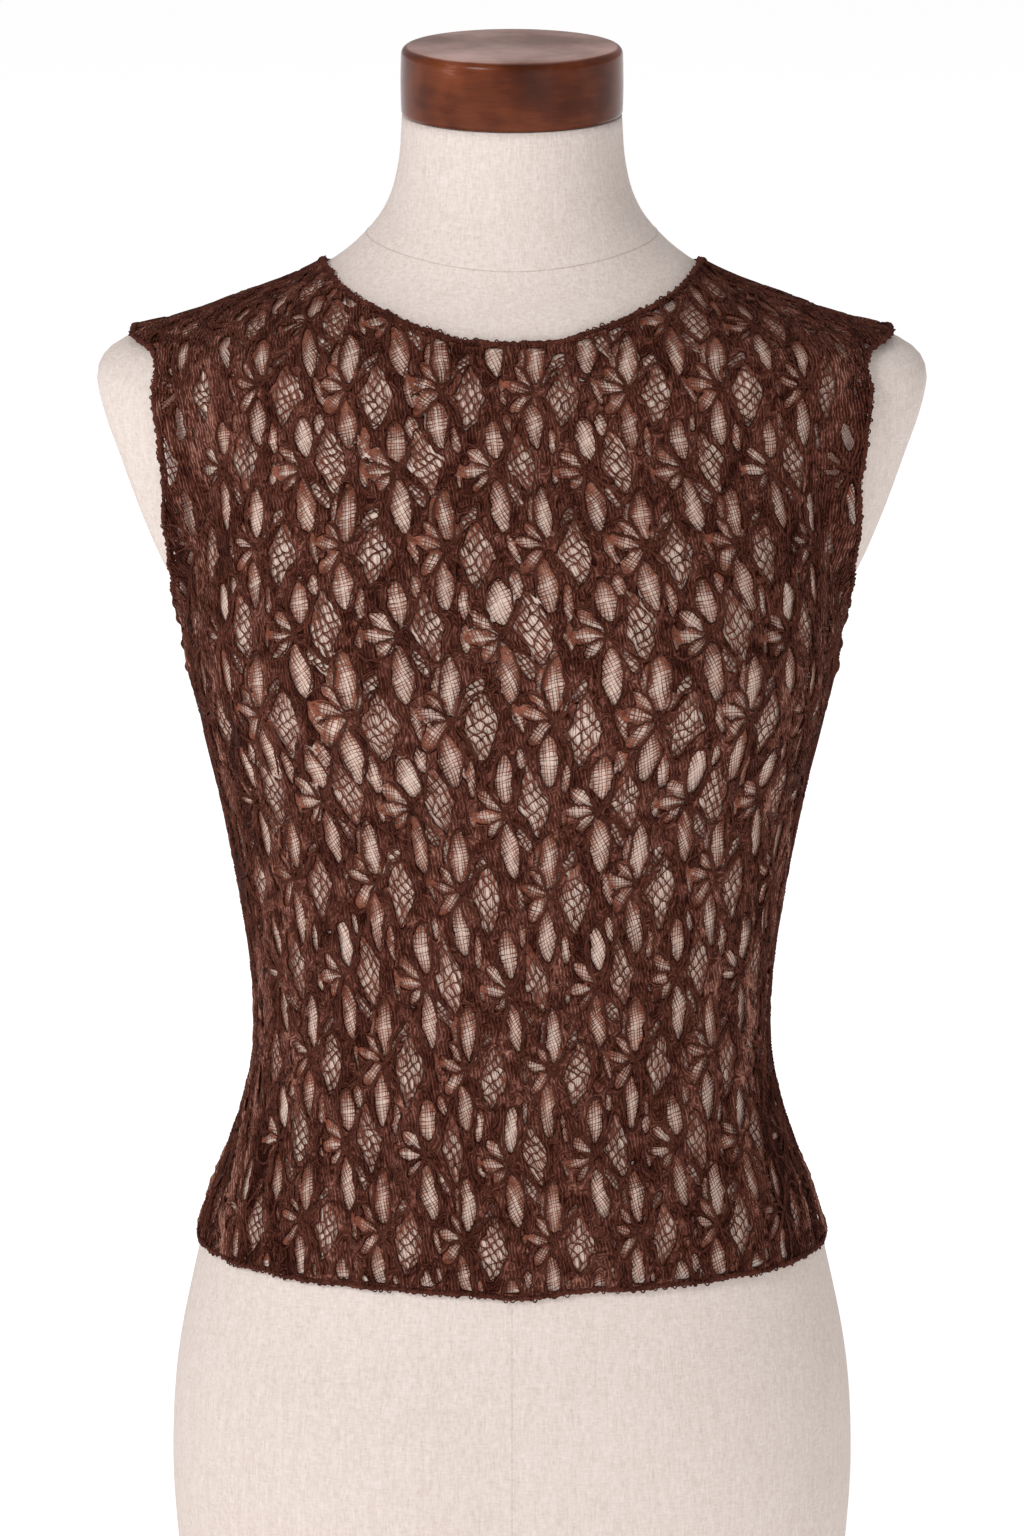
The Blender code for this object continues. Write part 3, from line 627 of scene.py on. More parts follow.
def chart_distance(x, y):
    """Distance to the nearest opening at a place on the chart, under 0 inside."""
    best = np.full(x.shape, 20.0)
    nearest = np.round(-y / ROW)
    for row in (nearest - 1, nearest, nearest + 1):
        odd = row % 2
        number = np.floor((x + 20.5) / REPEAT - odd / 2)
        from_x = x - (number + odd / 2) * REPEAT
        from_y = y + row * ROW
        for turned, chart in enumerate((UPRIGHT_CHART, TURNED_CHART)):
            here = odd == turned
            for opening in chart:
                best[here] = np.minimum(best[here], superellipse(from_x[here], from_y[here], opening))
    return best


def form_steepness(angle, height):
    """Height gained for each mm up the form's surface."""
    step = 1.0
    low = under_cloth(angle, height - step)
    high = under_cloth(angle, height + step)
    return 2 * step / np.linalg.norm(high - low, axis=-1)


class Lace(Unrolled):
    """One side of the lace: its chart, laid on the form."""

    def __init__(self, side):
        super().__init__(side)
        self.rows = np.linspace(FIRST_ROW - 1.0, LAST_ROW + 1.0, 600)
        above = np.maximum(FIRST_ROW - self.rows, 0) * ROW_ABOVE
        below = np.maximum(self.rows - LAST_ROW, 0) * ROW_BELOW
        self.runs = lace_value("run", self.rows) + above - below
        self.arm = self.arm_table()

    def chart(self, across, run):
        """Place on the chart of a laid-out place."""
        row = np.interp(-run, -self.runs, self.rows)
        x = (across - lace_value("lean", row)) / lace_value("repeat", row) * REPEAT
        return x, -row * ROW

    def laid(self, x, y):
        """Laid-out place of a place on the chart, pulled as the lace is."""
        pull_x, pull_y = warp(x, y)
        x = x - pull_x
        y = y - pull_y
        row = -y / ROW
        across = x / REPEAT * lace_value("repeat", row) + lace_value("lean", row)
        return across, np.interp(row, self.rows, self.runs)

    def closing(self, across, run):
        """How far the openings are drawn shut: by the sides and arms, from the waist down, and least
        on the bust.
        """
        x, y = self.chart(across, run)
        aside = np.abs(across)
        sides = 2.6 * ramp(aside, 105, 200)
        waist = 0.75 * ramp(-run, 90, 220)
        arms = 0.9 * ramp(aside, 80, 130) * ramp(run, -55, 10)
        hem = 0.5 * ramp(-run, 320, 360)
        bust = 0.6 * (1 - ramp(np.hypot((aside - 78) / 45, (run + 75) / 50), 0.3, 1.2))
        broad = 0.7 * noise(x / 31, y / 27, 21)
        fine = 1.15 * noise(x / 3.1, y / 4.4, 23)
        middling = 0.35 * noise(x / 7, y / 7, 22)
        return 0.05 + sides + broad + waist + fine + arms + hem - bust + middling

    def arm_table(self):
        """Distances to the armhole's edge on a grid of turns and heights, under 0 inside it."""
        heights = np.linspace(*ARM_HEIGHTS, ARM_GRID[0])
        turns = np.linspace(*ARM_TURNS, ARM_GRID[1])
        points = under_cloth(self.angle(turns)[None, :], heights[:, None])
        points[..., 0] = np.abs(points[..., 0])
        edge = under_cloth(*armhole(all_round(360, -math.pi)))
        flat = points.reshape(-1, 3)
        near = np.concatenate([
            np.sqrt(((some[:, None, :] - edge[None, :, :]) ** 2).sum(axis=2).min(axis=1))
            for some in np.array_split(flat, 40)
        ]).reshape(points.shape[:2])
        depth = ARMHOLE_FRONT_DEPTH if self.side < 0 else ARMHOLE_BACK_DEPTH
        return np.where(armhole_size(points[..., 1], points[..., 2], depth) < 1, -near, near)

    def margin(self, turn, height):
        """Distance to the edge of the cloth, in mm."""
        angle = self.angle(turn)
        neck = (neckline(angle) - height) / np.maximum(form_steepness(angle, height), 0.2)
        hem = height - hemline(angle)
        seam = (1 - turn) * SEAM_SLOPE
        i = (np.asarray(height, float) - ARM_HEIGHTS[0]) / np.diff(ARM_HEIGHTS)[0] * (ARM_GRID[0] - 1)
        j = (np.asarray(turn, float) - ARM_TURNS[0]) / np.diff(ARM_TURNS)[0] * (ARM_GRID[1] - 1)
        arm = between(self.arm, i, j)
        arm = np.where((j > 0) & (i > 0), arm, 99.0)
        return np.minimum(np.minimum(neck, hem), np.minimum(seam, arm))

    def place(self, across, run, distance):
        """Points and normals of the cloth at laid-out places."""
        turn, height = self.worn(np.abs(across), run)
        angle = self.angle(turn)
        normal = cloth_normal(angle, height)
        point = under_cloth(angle, height) + normal * np.asarray(distance)[..., None]
        flip = np.where(across < 0, -1, 1) * -self.side
        point[..., 0] *= flip
        normal[..., 0] *= flip
        return point, normal, self.margin(turn, height)

    def edge(self, across, run):
        """Distance to the nearest edge of the cloth or of an opening, under 0 in an opening."""
        turn, height = self.worn(np.abs(across), run)
        margin = self.margin(turn, height)
        x, y = self.chart(across, run)
        pull_x, pull_y = warp(x, y)
        scale = lace_value("repeat", -y / ROW) / REPEAT
        opening = chart_distance(x + pull_x, y + pull_y) * scale + self.closing(across, run)
        speck = 3.0 * (SPECK_LEVEL - noise(across / 2.5, run / 3.6, 24))
        opening = np.minimum(opening, speck)
        return np.minimum(margin, np.maximum(opening, 2.2 - margin))


def cloth_gather(across, run):
    """Gathers of the cloth: upright streaks, in mm, strongest low down and at the sides."""
    side = ramp(np.abs(across), 60, 175)
    low = 1 - ramp(run, -170, -30)
    bent = across + 4.0 * noise(across / 26, run / 34, 33)
    streak = noise(bent / 4.4, run / 46, 34)
    broad = noise(bent / 11, run / 80, 35)
    return (0.22 + 0.98 * side) * (0.40 + 0.60 * low) * (0.85 * streak + 0.95 * broad)


def slanted_noise(x, y, across, along, seed):
    """Noise on axes turned by about 37 degrees, with its own period on each."""
    return noise(0.8 * x / across + 0.6 * y / across, 0.8 * y / along - 0.6 * x / along, seed)


def cloth_relief(across, run, edge):
    """How far the cloth stands out of its middle surface: rims, crinkles and streaks."""
    t = np.clip(edge, 0, 5)
    rim = 0.55 * np.exp(-(((t - 1.2) / 0.8) ** 2)) - 0.7 * np.exp(-((t / 0.5) ** 2))
    bend_x = across + 2.2 * noise(across / 9, run / 9, 36)
    bend_y = run + 2.2 * noise(across / 9, run / 9, 37)
    yarn = np.sin(2 * math.pi * (t / 3.3 + 0.6 * noise(bend_x / 6, bend_y / 6, 31)))
    strand = (bend_x + 0.22 * bend_y) / 3.2 + 0.6 * noise(bend_x / 7, bend_y / 11, 32)
    strand = np.sin(2 * math.pi * strand)
    knot = slanted_noise(bend_x, bend_y, 3.6, 4.4, 38)
    crinkle = 0.30 * yarn * ramp(t, 1.2, 2.4) + 0.26 * strand * ramp(t, 1.4, 3.0) + 0.34 * knot
    return np.clip(rim + crinkle + cloth_gather(across, run), -0.9, 2.4)


def add_cloth(lace, name, finish):
    """One side of the lace as one curved sheet with its openings cut through."""
    across = np.arange(-CLOTH_ACROSS, CLOTH_ACROSS + CLOTH_GRID, CLOTH_GRID)
    run = np.arange(*CLOTH_RUN, CLOTH_GRID)
    flat, faces = cut_grid(across, run, lace.edge(*np.meshgrid(across, run, indexing="ij")))
    a, r = flat[:, 0], flat[:, 1]
    edge = np.maximum(lace.edge(a, r), 0)
    relief = cloth_relief(a, r, edge)
    points, _, _ = lace.place(a, r, CLOTH_BASE + relief)
    # Uneven dye, at random.
    dye_and_relief_shade = 0.42 + 0.16 * noise(a / 9, r / 9, 41)
    dye_and_relief_shade = dye_and_relief_shade + 0.16 * slanted_noise(a, r, 3.2, 3.8, 42)
    # Painted highlight and shade: lighter where the relief stands up on rims, crinkles and gather
    # ridges, darker in the hollows at the openings' edges and in the gather troughs.
    dye_and_relief_shade = dye_and_relief_shade + 0.46 * (relief - 0.1) + 0.04 * cloth_gather(a, r)
    return fast_mesh(name, points, faces, finish, {"edge": edge, "dye_and_relief_shade": dye_and_relief_shade, "across": a, "run": r})


def ribbons(lace, lines, half_width, rise, crown, keep=None):
    """Threads as ribbons along polylines on the chart: three-edged, or flat where crown is 0.

    lines is an array of polylines, each with the same number of points.
    """
    across, run = lace.laid(lines[..., 0], lines[..., 1])
    points, normal, margin = lace.place(across, run, np.full(across.shape, rise))
    kept = (margin[:, 1:] > 0.2) & (margin[:, :-1] > 0.2)
    if keep is not None:
        kept = kept & keep(across, run)
    sideways = unit(np.cross(np.gradient(points, axis=1), normal))
    width = np.broadcast_to(np.asarray(half_width, float), across.shape)[..., None]
    rails = [points - sideways * width, points + sideways * width]
    if crown:
        sunk = normal * crown * 0.6
        rails = [rails[0] - sunk, points + normal * crown, rails[1] - sunk]
    first = np.arange(across.size).reshape(across.shape) * len(rails)
    here = first[:, :-1][kept]
    there = first[:, 1:][kept]
    strip = np.stack([there, there + 1, here + 1, here], axis=-1)
    faces = np.concatenate([strip + k for k in range(len(rails) - 1)])
    return packed(np.stack(rails, axis=2).reshape(-1, 3), faces)


def packed(points, faces):
    """The points that faces use, and the faces renumbered."""
    used = np.zeros(len(points), bool)
    used[faces.ravel()] = True
    place = np.cumsum(used) - 1
    return points[used], place[faces]


def joined(parts):
    """Several (points, faces) pairs as one."""
    starts = np.cumsum([0] + [len(points) for points, _ in parts])
    faces = [quads + start for (_, quads), start in zip(parts, starts)]
    return np.concatenate([points for points, _ in parts]), np.concatenate(faces)


def mirrored(points, faces, mirror):
    """Points and faces, turned over to the other side where mirror is -1."""
    return points * (mirror, 1, 1), faces[:, ::mirror]


def hubs(turned):
    """Places on the chart of the hubs that stand upright (turned 0) or are turned over (1)."""
    rows = range(FIRST_ROW - 1, LAST_ROW + 2)
    numbers = range(-HUBS_A_SIDE, HUBS_A_SIDE + 1)
    return np.array([((number + turned / 2) * REPEAT, -row * ROW)
                     for row in rows if row % 2 == turned for number in numbers])


def chords(opening, slope, offsets):
    """Ends of parallel lines across an opening on its own axes, a little past its outline."""
    steps = np.linspace(0, 2 * math.pi, 181)
    bend = 2 / opening.power
    p = (opening.long + CHORD_SPILL) * np.sign(np.cos(steps)) * np.abs(np.cos(steps)) ** bend
    q = (opening.wide + CHORD_SPILL) * np.sign(np.sin(steps)) * np.abs(np.sin(steps)) ** bend
    cosine = math.cos(slope)
    sine = math.sin(slope)
    s = p * cosine + q * sine
    t = q * cosine - p * sine
    ends = []
    for offset in offsets:
        crossing = np.nonzero((t[:-1] - offset) * (t[1:] - offset) <= 0)[0]
        if len(crossing) < 2:
            continue
        low, high = s[crossing].min(), s[crossing].max()
        if high - low < CHORD_SHORTEST:
            continue
        ends.append(((low * cosine - offset * sine, low * sine + offset * cosine),
                     (high * cosine - offset * sine, high * sine + offset * cosine)))
    return np.array(ends).reshape(-1, 2, 2)


def net_openings(fill):
    """Openings of one kind on the chart, with the hubs round which they are found."""
    for turned, chart in enumerate((UPRIGHT_CHART, TURNED_CHART)):
        for opening in chart:
            if opening.fill == fill:
                yield hubs(turned), opening


def turned_to(line, opening):
    """Points on an opening's own axes, on the axes of its hub."""
    cosine = math.cos(math.radians(opening.tilt))
    sine = math.sin(math.radians(opening.tilt))
    return np.stack([line[..., 0] * cosine - line[..., 1] * sine + opening.x,
                     line[..., 0] * sine + line[..., 1] * cosine + opening.y], axis=-1)


def fine_thread(start, end, opening, hubs_here, weight, random):
    """A bent thread of (x, y, width) points round each hub, thick at its ends."""
    length = np.hypot(*(end - start))
    count = 3 if length < 9 else 5
    share = np.linspace(0, 1, count)[:, None]
    normal = np.array([-(end - start)[1], (end - start)[0]]) / length
    bend = random.uniform(-0.3, 0.3)
    line = start + (end - start) * share + normal * bend * np.sin(share * math.pi)
    jitter = random.normal(0, 0.13, (len(hubs_here), count, 2))
    lines = hubs_here[:, None, :] + turned_to(line, opening) + jitter
    thick = weight * (1 + 0.35 * line[:, 0] / opening.long) * random.uniform(0.75, 1.25)
    thick = thick * (0.4 + 1.25 * np.abs(2 * share[:, 0] - 1))
    thick = np.broadcast_to(thick[None, :, None], (len(hubs_here), count, 1))
    return np.concatenate([lines, thick], axis=-1)


def fine_net_lines(seed):
    """Threads of the fine nets on the chart, as (x, y, width) polylines by their number of points."""
    random = np.random.default_rng(seed)
    found = {}
    openings = [(*item, FINE_PITCH, FINE_NET_SLOPES) for item in net_openings("fine")]
    openings += [(*item, HATCH_PITCH, HATCH_SLOPES) for item in net_openings("coarse")]
    for here, opening, pitch, slopes in openings:
        reach = opening.long + 1
        for variant in range(3):
            some = here[variant::3]
            lean = random.uniform(-14, 14)
            weight = random.uniform(0.7, 1.25) * (1.3 if opening.long < 8 else 1)
            for slope in slopes:
                offsets = np.arange(-reach, reach, pitch) + random.uniform(0, pitch)
                offsets = offsets + random.uniform(-0.16, 0.16, len(offsets)) * pitch
                for start, end in chords(opening, math.radians(slope + lean), offsets):
                    lines = fine_thread(start, end, opening, some, weight, random)
                    found.setdefault(lines.shape[1], []).append(lines)
    return {count: np.concatenate(lines) for count, lines in found.items()}


def coarse_net_lines(seed):
    """Threads of the coarse nets on the chart: one bent line from knot to knot."""
    random = np.random.default_rng(seed)
    found = []
    openings = [(*item, COARSE_PITCH) for item in net_openings("coarse")]
    openings += [(*item, CELL_PITCH) for item in net_openings("cells")]
    for here, opening, pitch in openings:
        power = opening.power
        reach = int(1.4 * opening.long / pitch)
        steps = np.arange(-reach, reach + 1)
        i, j = np.meshgrid(steps, steps, indexing="ij")
        slopes = [math.radians(slope - opening.tilt) for slope in COARSE_NET_SLOPES]
        for hub in here:
            first, second = slopes + random.normal(0, 0.10, 2)
            step_i = np.array([math.cos(first), math.sin(first)])
            step_j = np.array([math.cos(second), math.sin(second)])
            knots = pitch * (i[..., None] * step_i + 1.12 * j[..., None] * step_j)
            knots = knots + random.uniform(-1.5, 1.5, 2)
            knots = knots + random.normal(0, 0.17 * pitch, knots.shape)
            size = np.abs(knots) / (opening.long + KNOT_SPILL, opening.wide + KNOT_SPILL)
            inside = (size**power).sum(axis=-1) < 1
            for start, end, both in (
                (knots[:-1], knots[1:], inside[:-1] & inside[1:]),
                (knots[:, :-1], knots[:, 1:], inside[:, :-1] & inside[:, 1:]),
            ):
                start = start[both]
                end = end[both]
                across = np.stack([start[:, 1] - end[:, 1], end[:, 0] - start[:, 0]], axis=-1)
                middle = (start + end) / 2 + across * random.uniform(-0.16, 0.16, (len(start), 1))
                found.append(hub + turned_to(np.stack([start, middle, end], axis=1), opening))
    return np.concatenate(found)


def add_net(lace, name, fill, finish, seed):
    """The nets of one kind on one side."""
    def keep(across, run):
        open_here = lace.edge(across, run) < 0.75
        return open_here[:, 1:] | open_here[:, :-1]

    if fill == "coarse":
        lines = coarse_net_lines(seed)
        random = np.random.default_rng(seed + 7)
        half = COARSE_HALF * random.uniform(0.75, 1.25, (len(lines), 1)) * np.array([1.3, 0.8, 1.3])
        parts = [ribbons(lace, lines, half, COARSE_NET_RISE, 0.3, keep)]
    else:
        parts = [ribbons(lace, lines, FINE_HALF * lines[..., 2], FINE_NET_RISE, 0, keep)
                 for _, lines in sorted(fine_net_lines(seed).items())]
    points, faces = joined(parts)
    return fast_mesh(name, points, [faces], finish)


def curve_through(points, count):
    """Smooth line through points, as evenly spaced points."""
    points = np.asarray(points, float)
    far = travelled(points)
    at = np.linspace(0, far[-1], count)
    return np.stack([smooth(at, far, points[:, 0]), smooth(at, far, points[:, 1])], axis=-1)


def add_threads(lace, name, finish, seed):
    """The heavy threads that run round the openings and out of the hubs."""
    random = np.random.default_rng(seed)
    parts = []
    for turned, threads in enumerate((UPRIGHT_THREADS, TURNED_THREADS)):
        here = hubs(turned)
        for half, points in threads:
            line = curve_through(points, THREAD_POINTS)
            lines = here[:, None, :] + line + random.normal(0, 0.28, (len(here), THREAD_POINTS, 2))
            width = half * THREAD_WIDTH * (1 - 0.55 * np.linspace(0, 1, THREAD_POINTS) ** 3)
            width = width * random.uniform(0.6, 1.35, (len(here), THREAD_POINTS))
            parts.append(ribbons(lace, lines, width, CLOTH_BASE + THREAD_RISE, 0.5))
    points, faces = joined(parts)
    return fast_mesh(name, points, [faces], finish)


def directions(path, closed=True):
    """Unit directions along a path."""
    if closed:
        return unit(np.roll(path, -1, 0) - np.roll(path, 1, 0))
    return unit(np.gradient(path, axis=0))


def tube(path, normals, radius, sides, closed=True):
    """Points and faces of a tube along a path; radius may vary along it."""
    along = directions(path, closed)
    sideways = unit(np.cross(along, normals))
    out = np.cross(sideways, along)
    spin = all_round(sides)[:, None]
    radius = np.broadcast_to(np.asarray(radius, float), (len(path),))[:, None, None]
    ring = sideways[:, None, :] * np.cos(spin) + out[:, None, :] * np.sin(spin)
    points = path[:, None, :] + ring * radius
    faces = grid_faces(len(path), sides, wrap_rows=closed, wrap_columns=True)
    return points.reshape(-1, 3), faces[:, ::-1]


def resample(path, step):
    """A closed path as evenly spaced points about a step apart, and its length."""
    loop = np.concatenate([path, path[:1]])
    far = travelled(loop)
    at = np.linspace(0, far[-1], max(12, int(far[-1] / step)) + 1)[:-1]
    return np.stack([np.interp(at, far, loop[:, k]) for k in range(3)], axis=-1), far[-1]


def outward(path, away):
    """Unit normals of the cloth on a closed path, and unit directions off to one side of it."""
    normals = cloth_normal(np.arctan2(path[:, 1], path[:, 0]), path[:, 2])
    return normals, unit(away * np.cross(directions(path), normals))


def edge_cord(path, away, seed):
    """The edge's lumpy cord, wandering about a path, and the path of its middle."""
    normals, off = outward(path, away)
    t = np.arange(len(path)) * EDGING_STEP
    wander = 0.45 * ripple(t, 11, seed, 7) + 0.35 * ripple(t, 3.7, seed, 8)
    path = path + off * wander[:, None] + normals * (0.2 * ripple(t, 6, seed, 9))[:, None]
    lumps = EDGING_RADIUS * (1.05 + 0.34 * ripple(t, 1.9, seed) + 0.16 * ripple(t, 8, seed, 3))
    return tube(path, normals, lumps, 8), path


def edge_stitches(path, length, up, off, seed):
    """The zigzag stitches over an edge's cord."""
    at = np.arange(len(path)) * (length / len(path))
    turns = round(length / STITCH_PITCH)
    phase = at / length * turns * 2 * math.pi + 1.1 * ripple(at, 6, seed)
    sway = np.cos(phase) * (1.25 + 0.3 * ripple(at, 4, seed, 2)) - 0.35
    lift = 0.55 + 0.55 * np.sin(phase) ** 2
    return tube(path + off * sway[:, None] + up * lift[:, None], up, EDGE_STITCH_RADIUS, 5)


def edge_picots(path, length, up, off, seed):
    """Small loops of thread that stand off an edge, unevenly spaced."""
    random = np.random.default_rng(seed)
    picots = []
    place = 0.0
    while place < length - 6:
        start = int(place / length * len(path))
        width = int(random.uniform(1.8, 3.4) / STITCH_STEP)
        picks = (start + np.arange(width + 1)) % len(path)
        share = np.linspace(0, math.pi, width + 1)
        out = 0.5 + random.uniform(0.5, 1.5) * np.sin(share) ** 0.8
        line = path[picks] + off[picks] * out[:, None] + up[picks] * (0.35 * np.sin(share))[:, None]
        picots.append(tube(line, up[picks], random.uniform(0.3, 0.42), 5, closed=False))
        place += random.uniform(2.4, 6.5)
    return picots


def add_edging(name, angles, heights, mirror, away, finish, seed):
    """An edge of the cloth, overcast with thread: a lumpy cord, zigzag stitches and picots.

    away is 1 or -1, whichever side of the path is off the cloth.
    """
    path, _ = resample(in_cloth(angles, heights, CLOTH_MIDDLE), EDGING_STEP)
    cord, path = edge_cord(path, away, seed)
    fine, length = resample(path, STITCH_STEP)
    up, off = outward(fine, away)
    stitches = edge_stitches(fine, length, up, off, seed + 1)
    picots = edge_picots(fine, length, up, off, seed)
    points, faces = mirrored(*joined([cord, stitches, *picots]), mirror)
    return fast_mesh(name, points, [faces], finish)


def seam(low, high, knots, seed):
    """A sewn seam on the right side, from one height to another, as a ridge and its stitches."""
    rough = np.linspace(low, high, 400)
    far = travelled(in_cloth(0 * rough, rough, SEAM_LIFT))
    s = np.arange(0, far[-1], EDGING_STEP)
    height = np.interp(s, far, rough)
    radius = 0.8 * (1 + 0.38 * ripple(s, 1.9, seed) + 0.25 * ripple(s, 9, seed, 2))
    proud = 0.3 * ripple(s, 7, seed, 4)
    for knot in knots:
        bump = np.exp(-(((height - knot) / 2.6) ** 2))
        radius = radius + 0.75 * bump
        proud = proud + 0.7 * bump
    turn = 0.010 * ripple(s, 5, seed, 6)
    path = in_cloth(turn, height, (SEAM_LIFT + proud)[:, None])
    normals = cloth_normal(turn, height)
    phase = s / STITCH_PITCH * 2 * math.pi + ripple(s, 6, seed + 1)
    sway = np.cos(phase) * (1.2 + 0.3 * ripple(s, 4, seed + 2))
    stitch = path + np.stack([0 * s, sway, 0 * s], axis=-1)
    stitch = stitch + normals * (0.25 + 0.5 * np.sin(phase) ** 2)[:, None]
    return [tube(path, normals, radius, 7, closed=False),
            tube(stitch, normals, SEAM_STITCH_RADIUS, 5, closed=False)]


def add_seams(name, finish, seed):
    """The overlocked side and shoulder seams, as low uneven ridges, with gathers under the arms."""
    parts = []
    for mirror in (1, -1):
        for key, low, high, knots in ((seed, HEM_HEIGHT + 1, ARMHOLE_BOTTOM - 0.5, UNDERARM_KNOTS),
                                      (seed + 10, ARMHOLE_TOP + 0.8, neckline(0.0) - 0.8, ())):
            parts += [mirrored(*ridge, mirror) for ridge in seam(low, high, knots, key + mirror)]
    points, faces = joined(parts)
    return fast_mesh(name, points, [faces], finish)


def covered_share(angle, height, y):
    """1 where the top lies over the form, 0 where the linen is bare, soft at the edges."""
    over = ramp(height - hemline(angle), 0, 5) * ramp(neckline(angle) - height, 0, 5)
    size = armhole_size(y, height, np.where(y < 0, ARMHOLE_FRONT_DEPTH, ARMHOLE_BACK_DEPTH))
    return over * np.where(np.abs(np.cos(angle)) > 0.7, ramp(size, 1.0, 1.1), 1.0)


def capped(rings):
    """Points and faces of a stack of level rings, closed to a middle point at each end."""
    count, steps = rings.shape[:2]
    ring = np.arange(steps)
    beyond = (ring + 1) % steps
    last = (count - 1) * steps
    middle = np.full(steps, count * steps)
    caps = [np.stack([middle, beyond, ring], axis=-1),
            np.stack([middle + 1, ring + last, beyond + last], axis=-1)]
    ends = rings[[0, -1], 0] * (0, 0, 1)
    faces = [grid_faces(count, steps, wrap_columns=True), np.concatenate(caps)]
    return np.concatenate([rings.reshape(-1, 3), ends]), faces


def add_form(finish):
    """The linen dress form, whole, with its bottom edge rounded."""
    heights = np.linspace(0, FORM_TOP, FORM_GRID[0])
    angles = all_round(FORM_GRID[1])
    rings = form_point(angles[None, :], heights[:, None])
    # Share of the form under the top: where the linen gets its painted bounce light.
    covered = covered_share(angles[None, :], heights[:, None], rings[..., 1])
    short = np.maximum(BASE_ROUNDING - heights, 0)
    inset = BASE_ROUNDING - np.sqrt(np.maximum(BASE_ROUNDING**2 - short**2, 0))
    rings[..., :2] *= (1 - inset[:, None] / np.hypot(rings[..., 0], rings[..., 1]))[..., None]
    points, faces = capped(rings)
    return fast_mesh("linen_form", points, faces, finish,
                     {"covered": np.concatenate([covered.ravel(), [0, 0]])})


def add_form_seams(finish):
    """The form's fine seams: round the base of its neck, and up the middle of front and back."""
    angle = all_round(360)
    path = form_point(angle, NECK_SEAM + NECK_SEAM_RISE * np.cos(angle) ** 2)
    normal = unit(path * (1, 1, 0))
    parts = [tube(path - normal * 0.10, normal, 0.26, 5)]
    for side in (-1, 1):
        height = np.arange(5, HEM_HEIGHT - 4, EDGING_STEP)
        path = form_point(np.full(len(height), side * math.pi / 2), height)
        normal = np.broadcast_to([0.0, side, 0.0], path.shape)
        lump = 0.20 + 0.07 * np.sin(height * 2 * math.pi / 3.2)
        parts.append(tube(path - normal * 0.10, normal, lump, 5, closed=False))
    points, faces = joined(parts)
    return fast_mesh("form_seams", points, [faces], finish)


def lathe(profile, steps):
    """Points and faces of a profile of (radius, height) turned about the form's axis."""
    spin = all_round(steps)
    profile = np.asarray(profile, float)
    return capped(np.stack([profile[:, :1] * np.cos(spin), profile[:, :1] * np.sin(spin),
                            np.broadcast_to(profile[:, 1:], (len(profile), steps))], axis=-1))


def add_cap(finish):
    """The turned wooden cap on the neck."""
    low = NECK_CAP_BOTTOM + NECK_CAP_BOTTOM_ROUNDING
    high = NECK_CAP_TOP - NECK_CAP_TOP_ROUNDING
    profile = [(NECK_CAP_RADIUS - 9, NECK_CAP_BOTTOM)]
    bend = np.linspace(0, math.pi / 2, 8)
    for t in bend:
        profile.append((NECK_CAP_RADIUS - NECK_CAP_BOTTOM_ROUNDING * (1 - math.sin(t)),
                        low - NECK_CAP_BOTTOM_ROUNDING * math.cos(t)))
    for t in np.linspace(0, 1, 12)[1:-1]:
        swell = NECK_CAP_SWELL * math.sin(t * math.pi)
        profile.append((NECK_CAP_RADIUS + swell, low + t * (high - low)))
    for t in bend:
        profile.append((NECK_CAP_RADIUS - NECK_CAP_TOP_ROUNDING * (1 - math.cos(t)),
                        high + NECK_CAP_TOP_ROUNDING * math.sin(t)))
    profile.append((NECK_CAP_RADIUS - 12, NECK_CAP_TOP))
    points, faces = lathe(profile, 160)
    # Mask of the flat top, which the wood's finish paints paler as a painted sheen.
    top = ramp(points[:, 2], NECK_CAP_TOP - 0.5, NECK_CAP_TOP - 0.02)
    return fast_mesh("wooden_cap", points, faces, finish, {"top": top})


